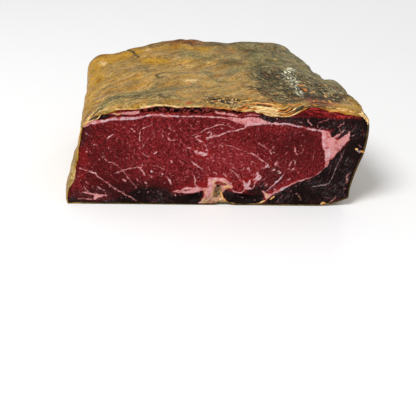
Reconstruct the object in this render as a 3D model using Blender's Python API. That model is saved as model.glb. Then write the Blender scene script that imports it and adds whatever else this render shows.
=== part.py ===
"""Half of a pressed block of cured beef (cecina), cut across and lying on its flat side.

Metres, +Z up. The cut face looks along -Y, X runs across it, and the underside is flat at z = 0.
"""
import math

import bpy
import bmesh
from mathutils import Vector, noise

MM = 0.001

# Driving sizes of the block
CUT_WIDTH = 218.5 * MM
CUT_HEIGHT = 80.5 * MM
BLOCK_DEPTH = 152.0 * MM
RIGHT_TAPER = 50.0 * MM  # the block is this much narrower at its far end
RIGHT_SWELL = 7.0 * MM  # the right side bows out this much half way along
LEFT_FOOT_DRAW = 5.0 * MM  # behind the cut, the foot of the left side draws in
LEFT_FOOT_DEPTH = 84.0 * MM  # and is drawn in fully this far back
FAR_END_LENGTH = 18.0 * MM  # length of the rounding at the far end
FAR_END_INSET = 12.0 * MM  # how far that rounding draws the outline in
FAR_END_MIDDLE = (-26.0 * MM, 40.0 * MM)  # the place (across, up) that it is drawn towards
FAR_END_HALF_WIDTH = 87.0 * MM
FAR_END_BOW = 6.0 * MM  # the far end's corners lie this much nearer than its middle
FAR_LEFT_INSET = 9.0 * MM  # the far left corner is rounded off over a longer stretch
FAR_LEFT_LENGTH = 46.0 * MM
SHOULDER_DROP = 8.5 * MM  # the left shoulder falls away towards the far end
SHOULDER_X = -72.0 * MM
SHOULDER_HALF_WIDTH = 52.0 * MM
DIP_FILL = 2.4 * MM  # the dip in the top of the cut levels out towards the far end
DIP_X = 38.0 * MM
DIP_HALF_WIDTH = 34.0 * MM
DIP_DEPTH = 101.0 * MM  # it is level this far back

# Outline of the cut, as shares of its width and height. It runs (across, up) along the top,
# and (up, across) down each side, so that each list is a smooth curve of its first number.
TOP_CURVE = (
    (-0.444, 0.807), (-0.428, 0.848), (-0.408, 0.882), (-0.366, 0.925), (-0.311, 0.960),
    (-0.238, 0.992), (-0.185, 1.000), (-0.110, 0.988), (0.000, 0.981), (0.115, 0.966),
    (0.206, 0.957), (0.268, 0.986), (0.320, 0.998), (0.390, 0.979), (0.444, 0.955),
    (0.476, 0.917), (0.487, 0.870),
)
LEFT_CURVE = (
    (0.000, -0.503), (0.062, -0.508), (0.186, -0.499), (0.298, -0.490), (0.410, -0.476),
    (0.522, -0.467), (0.646, -0.458), (0.745, -0.453), (0.807, -0.444),
)
RIGHT_CURVE = (
    (0.087, 0.449), (0.186, 0.451), (0.311, 0.460), (0.422, 0.471), (0.547, 0.485),
    (0.708, 0.492), (0.820, 0.491), (0.870, 0.487),
)
# Underside of the cut, as (across, height above the table): it lifts at both ends
BASE_CURVE = (
    (-0.503, 0.0), (-0.490, 0.0), (0.340, 0.0), (0.384, 1.5 * MM), (0.421, 4.0 * MM), (0.449, 7.0 * MM),
)
# Small groove in the underside below the knot of fat, which fades out into the block
GROOVE_X = 5.0 * MM
GROOVE_HALF_WIDTH = 9.0 * MM
GROOVE_HEIGHT = 2.4 * MM
GROOVE_LENGTH = 26.0 * MM

# Flat underside: a four-sided face, this much lower than the margin that rises round it.
# Its corners are (across, deep), with deep counted from the cut.
FOOT_DROP = 0.3 * MM
FOOT_CORNERS = (
    (-106.0 * MM, 3.0 * MM), (72.0 * MM, 3.0 * MM), (38.0 * MM, 127.0 * MM), (-96.0 * MM, 127.0 * MM),
)

# Swells (+) and hollows (-) of the cut face: centre x, centre z, half width, half height, height
FACE_FORMS = {
    "main muscle": (-38.0, 38.0, 70.0, 34.0, 1.3),
    "right muscle": (42.0, 42.0, 38.0, 25.0, 1.0),
    "gap under the rind": (-22.0, 75.2, 40.0, 3.8, -5.0),
    "torn folds of rind": (36.0, 75.5, 25.0, 4.2, 2.6),
    "raw band": (76.0, 74.5, 24.0, 4.0, -1.8),
    "fat wedge": (82.0, 50.0, 10.0, 14.0, 0.9),
    "dark outer muscle": (95.0, 30.0, 14.0, 34.0, -1.2),
    "lower right muscle": (68.0, 8.0, 34.0, 12.0, -1.0),
    "knot stem": (-6.0, 12.0, 5.0, 12.0, 1.2),
    "knot arch": (5.0, 20.0, 9.0, 4.5, 1.0),
    "knot hollow": (1.0, 10.0, 4.5, 8.0, -3.6),
    "left pocket": (-18.0, 5.0, 9.0, 5.5, -2.6),
    "right pocket": (20.0, 5.0, 16.0, 5.5, -3.0),
}
FACE_RIM = 2.5 * MM  # the forms fade out over this strip along the outline

# Relief of the rind: height, length of one wave along X, Y and Z, and place in the noise
RIND_WAVES = {
    "lumps": (1.1 * MM, (74.0 * MM, 52.0 * MM, 40.0 * MM), (2.3, 7.9, 4.4)),
    "crags": (1.1 * MM, (46.0 * MM, 17.0 * MM, 15.0 * MM), (3.7, 1.9, 6.1)),
    "folds": (0.7 * MM, (19.0 * MM, 7.5 * MM, 7.0 * MM), (8.3, 5.2, 0.4)),
}
# Swells (+) and hollows (-) of the outside: centre and half size (across, deep, up), height
OUTSIDE_FORMS = {
    "right swell": ((95.0, 43.0, 66.0), (26.0, 24.0, 30.0), 3.4),
    "right front swell": ((104.0, 20.0, 66.0), (18.0, 18.0, 24.0), 2.6),
    "right hollow": ((78.0, 76.0, 64.0), (24.0, 20.0, 32.0), -4.0),
    "far right corner": ((56.0, 136.0, 58.0), (28.0, 26.0, 40.0), 5.0),
    "far left corner": ((-94.0, 126.0, 58.0), (22.0, 28.0, 30.0), 2.4),
    "far left dip": ((-50.0, 134.0, 74.0), (20.0, 26.0, 16.0), -2.8),
    "far middle rise": ((-26.0, 136.0, 76.0), (18.0, 24.0, 16.0), 2.8),
}
BASE_RIM = 8.0 * MM  # the relief fades out over this strip above the table
CUT_RIM = 14.0 * MM  # and over this strip behind the cut, down to CUT_RIM_SHARE of its height
CUT_RIM_SHARE = 0.35

# Mesh
CUTS_ACROSS = 109
CUTS_DEEP = 60
CUTS_UP = 41
TINY = 1e-6
KEPT_SHARE = 0.178  # of the triangles, after the flat and gentle places are simplified

RIND_COLOUR = (0.36, 0.235, 0.10, 1.0)
RIND_ROUGHNESS = 0.55

NODE_NAME = "cecina"
COLLECTION_NAME = "cecina"


def clear_scene():
    for old in list(bpy.data.objects):
        bpy.data.objects.remove(old, do_unlink=True)


def curve_value(knots, place):
    """Smooth curve through (place, value) knots, with the slope of each knot's neighbours."""
    last = len(knots) - 1
    place = min(max(place, knots[0][0]), knots[last][0])
    i = 0
    while i < last - 1 and place > knots[i + 1][0]:
        i += 1
    (x0, y0), (x1, y1) = knots[i], knots[i + 1]
    before = knots[max(i - 1, 0)]
    after = knots[min(i + 2, last)]
    slope0 = (y1 - before[1]) / (x1 - before[0])
    slope1 = (after[1] - y0) / (after[0] - x0)
    span = x1 - x0
    t = (place - x0) / span
    return (
        (2 * t**3 - 3 * t**2 + 1) * y0
        + (t**3 - 2 * t**2 + t) * span * slope0
        + (3 * t**2 - 2 * t**3) * y1
        + (t**3 - t**2) * span * slope1
    )


def smooth_step(t):
    t = min(max(t, 0.0), 1.0)
    return t * t * (3.0 - 2.0 * t)


def swell(distance):
    """Round bump: 1 in the middle, 0 at distance 1 and beyond."""
    return max(0.0, 1.0 - distance * distance) ** 2


def side_point(curve, share):
    """Point (across, up) in metres at a share of the way up a side."""
    up = curve[0][0] + share * (curve[-1][0] - curve[0][0])
    return curve_value(curve, up) * CUT_WIDTH, up * CUT_HEIGHT


def top_point(share):
    across = TOP_CURVE[0][0] + share * (TOP_CURVE[-1][0] - TOP_CURVE[0][0])
    return across * CUT_WIDTH, curve_value(TOP_CURVE, across) * CUT_HEIGHT


def base_point(share):
    across = BASE_CURVE[0][0] + share * (BASE_CURVE[-1][0] - BASE_CURVE[0][0])
    return across * CUT_WIDTH, curve_value(BASE_CURVE, across)


def section_point(u, v):
    """Point (across, up) of the cut, blended between its four edges; u and v run from 0 to 1."""
    base, top = base_point(u), top_point(u)
    left, right = side_point(LEFT_CURVE, v), side_point(RIGHT_CURVE, v)
    corners = (base_point(0.0), base_point(1.0), top_point(0.0), top_point(1.0))
    shares = ((1 - u) * (1 - v), u * (1 - v), (1 - u) * v, u * v)
    point = []
    for axis in (0, 1):
        edges = (1 - v) * base[axis] + v * top[axis] + (1 - u) * left[axis] + u * right[axis]
        point.append(edges - sum(s * c[axis] for s, c in zip(shares, corners)))
    return point


def end_rounding(w, length):
    """Quarter round: 0 until the last stretch of the given length, 1 at the far end."""
    t = max(0.0, 1.0 - (1.0 - w) * BLOCK_DEPTH / length)
    return 1.0 - math.sqrt(max(0.0, 1.0 - t * t))


def block_point(u, w, v):
    """Point of the block without relief; w runs from the cut face (0) to the far end (1)."""
    across, up = section_point(u, v)
    deep = w * BLOCK_DEPTH
    share_across = across / CUT_WIDTH + 0.5
    up -= SHOULDER_DROP * w * w * swell((across - SHOULDER_X) / SHOULDER_HALF_WIDTH) * v
    up += DIP_FILL * smooth_step(deep / DIP_DEPTH) * swell((across - DIP_X) / DIP_HALF_WIDTH) * v
    across += (RIGHT_SWELL * math.sin(math.pi * w) - RIGHT_TAPER * w) * share_across
    draw_in = FAR_LEFT_INSET * end_rounding(w, FAR_LEFT_LENGTH)
    draw_in += LEFT_FOOT_DRAW * smooth_step(deep / LEFT_FOOT_DEPTH) * (1.0 - v)
    across += draw_in * (1.0 - share_across)
    inset = FAR_END_INSET * end_rounding(w, FAR_END_LENGTH)
    middle_across, middle_up = FAR_END_MIDDLE
    across = middle_across + (across - middle_across) * (1.0 - inset / FAR_END_HALF_WIDTH)
    up = middle_up + (up - middle_up) * (1.0 - inset / middle_up)
    deep -= FAR_END_BOW * (2.0 * share_across - 1.0) ** 2 * w**3
    return Vector((across, deep, up))


def face_height(across, up, edge_distance):
    """How far the cut face stands out (+) or in (-) at a place, in metres."""
    x, z = across / MM, up / MM
    height = 0.0
    for centre_x, centre_z, half_width, half_height, form_height in FACE_FORMS.values():
        distance = math.hypot((x - centre_x) / half_width, (z - centre_z) / half_height)
        height += form_height * swell(distance)
    return height * MM * smooth_step(edge_distance / FACE_RIM)


def rind_height(point):
    """Height of the rind's lumps, crags, folds, swells and hollows at a place, in metres."""
    height = 0.0
    for wave_height, waves, offset in RIND_WAVES.values():
        place = [point[i] / waves[i] + offset[i] for i in range(3)]
        height += wave_height * noise.noise(Vector(place))
    for centre, reach, form_height in OUTSIDE_FORMS.values():
        away = [(point[i] / MM - centre[i]) / reach[i] for i in range(3)]
        height += form_height * MM * swell(math.hypot(*away))
    strip = smooth_step(point.y / CUT_RIM)
    return height * (CUT_RIM_SHARE + (1.0 - CUT_RIM_SHARE) * strip) * smooth_step(point.z / BASE_RIM)


def groove_height(across, deep):
    beside = swell((across - GROOVE_X) / GROOVE_HALF_WIDTH)
    return GROOVE_HEIGHT * beside * (1.0 - smooth_step(deep / GROOVE_LENGTH))


def gridded_cube():
    """Cube from 0 to 1 with its edges cut into an even grid along each axis."""
    bm = bmesh.new()
    bmesh.ops.create_cube(bm, size=1.0)
    bmesh.ops.translate(bm, vec=Vector((0.5, 0.5, 0.5)), verts=bm.verts)
    for axis, cuts in enumerate((CUTS_ACROSS, CUTS_DEEP, CUTS_UP)):
        along = [e for e in bm.edges if abs(e.verts[0].co[axis] - e.verts[1].co[axis]) > TINY]
        bmesh.ops.subdivide_edges(bm, edges=along, cuts=cuts, use_grid_fill=True)
    return bm


def shape_block(bm):
    """Move the gridded cube's points onto the block, then add the relief of rind and cut face."""
    shares = {vert: vert.co.copy() for vert in bm.verts}
    for vert, share in shares.items():
        vert.co = block_point(share.x, share.y, share.z)
    bm.normal_update()
    moves = {}
    for vert, share in shares.items():
        point = vert.co
        on_face = share.y < TINY
        edge = min(share.x, 1.0 - share.x) * CUT_WIDTH
        edge = min(edge, min(share.z, 1.0 - share.z) * CUT_HEIGHT)
        if on_face and edge > TINY:
            moves[vert] = Vector((0.0, -face_height(point.x, point.z, edge), 0.0))
        elif share.z > TINY:
            moves[vert] = vert.normal * rind_height(point)
        else:
            moves[vert] = Vector((0.0, 0.0, groove_height(point.x, point.y)))
    for vert, move in moves.items():
        vert.co += move
        vert.co.z = max(vert.co.z, 0.0)


def simplified_copy(mesh):
    """The mesh after a Decimate modifier, which spends few triangles on its gentle places."""
    helper = bpy.data.objects.new("simplify_helper", mesh)
    bpy.context.scene.collection.objects.link(helper)
    simplify = helper.modifiers.new("simplify", "DECIMATE")
    simplify.decimate_type = "COLLAPSE"
    simplify.ratio = KEPT_SHARE
    simplify.use_collapse_triangulate = True
    depsgraph = bpy.context.evaluated_depsgraph_get()
    simple = bpy.data.meshes.new_from_object(helper.evaluated_get(depsgraph))
    bpy.data.objects.remove(helper, do_unlink=True)
    return simple


def lay_flat(bm):
    """Cut the underside away just above the table and close it with one flat four-sided face."""
    cut = bmesh.ops.bisect_plane(
        bm,
        geom=bm.verts[:] + bm.edges[:] + bm.faces[:],
        plane_co=Vector((0.0, 0.0, FOOT_DROP)),
        plane_no=Vector((0.0, 0.0, 1.0)),
        clear_inner=True,
    )
    margin = [e for e in cut["geom_cut"] if isinstance(e, bmesh.types.BMEdge)]
    corners = [bm.verts.new((across, deep, 0.0)) for across, deep in FOOT_CORNERS]
    sides = [bm.edges.new((corners[i - 1], corners[i])) for i in range(len(corners))]
    down = Vector((0.0, 0.0, -1.0))
    bmesh.ops.triangle_fill(bm, edges=margin + sides, use_beauty=True, normal=down)
    bmesh.ops.contextual_create(bm, geom=sides)


def centre_over_origin(bm):
    """Put the middle of the block's box over the origin."""
    for axis in (0, 1):
        values = [v.co[axis] for v in bm.verts]
        middle = 0.5 * (min(values) + max(values))
        for v in bm.verts:
            v.co[axis] -= middle


def rind_material():
    material = bpy.data.materials.new("rind")
    material.use_nodes = True
    shader = material.node_tree.nodes["Principled BSDF"]
    shader.inputs["Base Color"].default_value = RIND_COLOUR
    shader.inputs["Roughness"].default_value = RIND_ROUGHNESS
    shader.inputs["Metallic"].default_value = 0.0
    material.diffuse_color = RIND_COLOUR
    return material


def make_block(collection):
    bm = gridded_cube()
    shape_block(bm)
    fine = bpy.data.meshes.new("fine_block")
    bm.to_mesh(fine)
    bm.free()
    simple = simplified_copy(fine)
    bm = bmesh.new()
    bm.from_mesh(simple)
    lay_flat(bm)
    centre_over_origin(bm)
    bmesh.ops.triangulate(bm, faces=bm.faces)
    bmesh.ops.recalc_face_normals(bm, faces=bm.faces)
    mesh = bpy.data.meshes.new(NODE_NAME)
    bm.to_mesh(mesh)
    bm.free()
    mesh.materials.append(rind_material())
    block = bpy.data.objects.new(NODE_NAME, mesh)
    collection.objects.link(block)
    return block


def main():
    clear_scene()
    collection = bpy.data.collections.new(COLLECTION_NAME)
    bpy.context.scene.collection.children.link(collection)
    make_block(collection)


if __name__ == "__main__":
    main()
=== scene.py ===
"""Half of a pressed block of cured beef (cecina), cut across: rind, cut face and torn flakes of rind.

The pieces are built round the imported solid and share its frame: metres, +Z up, the cut looks
along -Y. Places on the cut are given in millimetres as (across, up), counted as on the solid's
own section, and places on top of the rind as (X, Y) of the frame.
"""

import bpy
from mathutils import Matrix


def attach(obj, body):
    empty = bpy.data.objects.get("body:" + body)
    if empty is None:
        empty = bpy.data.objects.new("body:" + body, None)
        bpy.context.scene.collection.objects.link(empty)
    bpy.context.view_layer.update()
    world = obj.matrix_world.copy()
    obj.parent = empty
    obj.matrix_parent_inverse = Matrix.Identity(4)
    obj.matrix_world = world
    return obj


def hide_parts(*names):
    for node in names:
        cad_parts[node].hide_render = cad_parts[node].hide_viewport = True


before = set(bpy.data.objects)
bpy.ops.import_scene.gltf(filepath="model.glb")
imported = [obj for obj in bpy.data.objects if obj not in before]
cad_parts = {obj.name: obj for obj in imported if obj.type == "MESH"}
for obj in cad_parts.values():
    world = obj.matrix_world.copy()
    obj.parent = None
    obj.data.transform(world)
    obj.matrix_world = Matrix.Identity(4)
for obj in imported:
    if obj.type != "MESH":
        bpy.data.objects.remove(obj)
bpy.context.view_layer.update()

import math

import bmesh
import bpy
import numpy as np
from mathutils import Matrix, Vector, noise

bl_info = {
    "name": "Cecina",
    "version": (1, 0, 0),
    "blender": (4, 5, 0),
    "location": "3D View > Sidebar > Cecina",
    "description": "Builds half a block of cured beef with its rind, cut face and torn flakes",
    "category": "Object",
}

MM = 0.001
TINY = 1e-6
NODE = "cecina"  # the solid that the pieces replace

# The solid's section, as in the part: sizes in millimetres, curves as shares of width and height
CUT_WIDTH = 218.5
CUT_HEIGHT = 80.5
BLOCK_DEPTH = 152.0
RIGHT_TAPER = 50.0
RIGHT_SWELL = 7.0
LEFT_FOOT_DRAW = 5.0
LEFT_FOOT_DEPTH = 84.0
FAR_END_LENGTH = 18.0
FAR_END_INSET = 12.0
FAR_END_MIDDLE = (-26.0, 40.0)
FAR_END_HALF_WIDTH = 87.0
FAR_END_BOW = 6.0
FAR_LEFT_INSET = 9.0
FAR_LEFT_LENGTH = 46.0
SHOULDER_DROP = 8.5
SHOULDER_X = -72.0
SHOULDER_HALF_WIDTH = 52.0
DIP_FILL = 2.4
DIP_X = 38.0
DIP_HALF_WIDTH = 34.0
DIP_DEPTH = 101.0
TOP_CURVE = (
    (-0.444, 0.807), (-0.428, 0.848), (-0.408, 0.882), (-0.366, 0.925), (-0.311, 0.960),
    (-0.238, 0.992), (-0.185, 1.000), (-0.110, 0.988), (0.000, 0.981), (0.115, 0.966),
    (0.206, 0.957), (0.268, 0.986), (0.320, 0.998), (0.390, 0.979), (0.444, 0.955),
    (0.476, 0.917), (0.487, 0.870),
)
LEFT_CURVE = (
    (0.000, -0.503), (0.062, -0.508), (0.186, -0.499), (0.298, -0.490), (0.410, -0.476),
    (0.522, -0.467), (0.646, -0.458), (0.745, -0.453), (0.807, -0.444),
)
RIGHT_CURVE = (
    (0.087, 0.449), (0.186, 0.451), (0.311, 0.460), (0.422, 0.471), (0.547, 0.485),
    (0.708, 0.492), (0.820, 0.491), (0.870, 0.487),
)
BASE_CURVE = (
    (-0.503, 0.0), (-0.490, 0.0), (0.340, 0.0), (0.384, 1.5), (0.421, 4.0), (0.449, 7.0),
)
GROOVE_X = 5.0
GROOVE_HALF_WIDTH = 9.0
GROOVE_HEIGHT = 2.4
GROOVE_LENGTH = 26.0
FACE_FORMS = {
    "main muscle": (-38.0, 38.0, 70.0, 34.0, 1.3),
    "right muscle": (42.0, 42.0, 38.0, 25.0, 1.0),
    "torn folds of rind": (36.0, 75.5, 25.0, 4.2, 1.2),
    "raw band": (76.0, 74.5, 24.0, 4.0, -1.8),
    "fat wedge": (82.0, 50.0, 10.0, 14.0, 0.9),
    "dark outer muscle": (95.0, 30.0, 14.0, 34.0, -1.2),
    "lower right muscle": (68.0, 8.0, 34.0, 12.0, -1.0),
    "knot stem": (-6.0, 12.0, 5.0, 12.0, 1.2),
    "knot arch": (5.0, 20.0, 9.0, 4.5, 1.0),
    "knot hollow": (1.0, 10.0, 4.5, 8.0, -3.6),
    "left pocket": (-18.0, 5.0, 9.0, 5.5, -2.6),
    "right pocket": (20.0, 5.0, 16.0, 5.5, -3.0),
}
RIND_WAVES = {
    "lumps": (1.1, (74.0, 52.0, 40.0), (2.3, 7.9, 4.4)),
    "crags": (1.1, (46.0, 17.0, 15.0), (3.7, 1.9, 6.1)),
    "folds": (0.7, (19.0, 7.5, 7.0), (8.3, 5.2, 0.4)),
}
OUTSIDE_FORMS = {
    "right swell": ((95.0, 43.0, 66.0), (26.0, 24.0, 30.0), 3.4),
    "right front swell": ((104.0, 20.0, 66.0), (18.0, 18.0, 24.0), 2.6),
    "right hollow": ((78.0, 76.0, 64.0), (24.0, 20.0, 32.0), -4.0),
    "far right corner": ((56.0, 136.0, 58.0), (28.0, 26.0, 40.0), 5.0),
    "far left corner": ((-94.0, 126.0, 58.0), (22.0, 28.0, 30.0), 2.4),
    "far left dip": ((-50.0, 134.0, 74.0), (20.0, 26.0, 16.0), -2.8),
    "far middle rise": ((-26.0, 136.0, 76.0), (18.0, 24.0, 16.0), 2.8),
}
RIND_FORMS = {  # small bumps and dents of the rind alone
    "right bump": ((69.0, 116.0, 74.0), (12.0, 14.0, 14.0), 1.6),
    "right dent": ((81.0, 91.0, 72.0), (11.0, 11.0, 15.0), -3.0),
    "right front bump": ((91.0, 60.0, 74.0), (11.0, 11.0, 14.0), 2.2),
    "right front dent": ((98.0, 42.0, 75.0), (9.0, 9.0, 14.0), -2.4),
    "far bump": ((-13.0, 140.0, 77.0), (9.0, 16.0, 12.0), 2.4),
    "far dent": ((-33.0, 140.0, 79.0), (9.0, 14.0, 12.0), -1.4),
}
BASE_RIM = 8.0
CUT_RIM = 14.0
CUT_RIM_SHARE = 0.35

# The section's own zero, seen from the frame's origin, in millimetres
SECTION_X = 1.96
SECTION_Y = -75.18

# Thickness of the rind where the cut goes through it, by place along each side, in millimetres
TOP_LIP = (
    (-97, 1.4), (-92, 2.4), (-86, 3.2), (-80, 2.9), (-76, 2.5), (-70, 2.4), (-60, 3.1), (-55, 3.2),
    (-50, 2.1), (-45, 1.6), (-40, 1.5), (-36, 2.0), (-32, 2.6), (-28, 2.6), (-22, 1.8), (-16, 1.5),
    (-10, 1.8), (0, 2.0), (10, 2.4), (14, 3.6), (20, 3.0), (26, 3.2), (30, 3.5), (36, 4.5),
    (42, 5.4), (47, 5.1), (52, 4.5), (55, 4.0), (58, 2.8), (62, 1.4), (66, 1.1), (72, 1.8),
    (77, 3.2), (85, 3.7), (90, 4.5), (95, 4.3), (100, 4.6), (103, 4.2), (106, 2.6),
)
LEFT_LIP = (
    (0, 1), (4, 1.4), (12, 1.5), (14, 2.8), (17, 5), (20, 5.4), (24, 3.8), (28, 2.6),
    (40, 1.8), (50, 1.1), (60, 1.5),
)
RIGHT_LIP = ((7, 0.8), (28, 0.9), (45, 1.2), (60, 1.2), (68, 2.2))
BASE_LIP = ((-109, 0.7), (-60, 0.8), (-12, 0.7), (13, 1.2), (34, 1.3), (60, 0.8), (98, 1.0))

# Rings of the cut rind, from its outer edge to the floor of the tray that holds the cut face:
# share of the rind's thickness, and depth behind the cut in millimetres
RINGS = ((0.22, -0.3), (0.7, -0.35), (1.0, 0.15), (1.0, 9.5))
RIM_DEPTH = 1.6  # how far behind the cut the rind still has its edge's colours
# Stretches of that edge with colours of their own, or with painted light or shade, in millimetres: start and
# length of the change at their left and lower end, end and length of the change at their right and upper end
RIM_STRETCHES = {
    "dark upper side": dict(left=(88.0, 4.0), high=(74.0, 4.0)),
    "dark lower side": dict(left=(80.0, 5.0), high=(14.0, 4.0)),
    "base": dict(left=(-104.0, 8.0), high=(4.0, 2.0)),
    # under the torn strands the rim is darkened as painted shade
    "torn lip": dict(left=(10.0, 4.0), right=(64.0, 4.0), low=(60.0, 4.0)),
    "thick left side": dict(right=(-90.0, TINY), low=(12.0, 4.0), high=(34.0, 6.0)),
    # painted highlight: extra cream laid along the lip where it catches the light
    "lit lip": dict(left=(-64.0, 8.0), right=(60.0, 6.0)),
    "right part": dict(left=(70.0, 8.0)),
}
LIP_WOBBLE = 0.35  # unevenness of the rind's thickness, as a share of it
CUT_EDGE = 2.5  # width over which relief fades out towards the edge of the cut
FACE_DEPTH = 0.2  # how far the cut face lies behind the rind's edge
FACE_EDGE_DROP = 0.45  # how far the face is rounded back along its edge
FACE_EDGE_WIDTH = 1.1
FACE_BACK = 9.0
NOTCH_REACH = 10.0  # height up to which the cut is lifted over the notch at its foot
# How far the tray and the slab are drawn in at their back, as the right side tapers there
RIGHT_DRAW_IN = 3.0
RIGHT_DRAW_START = 60.0
RIGHT_DRAW_LENGTH = 40.0

# Fine marbling: its area across and up, where the lean's grain turns, and where it thins out
MARBLED_AREA = ((-104, 80), (3, 70))
LEAN_TURNS = (-25, 25)
DARK_MUSCLE_X = 60
# How far painted edges wander, and the fat's and the lean's mean shade
WANDER = 0.42
FINE_WANDER = 0.3
MEAN_TINT = 0.6
MEAN_TONE = 0.42

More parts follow.
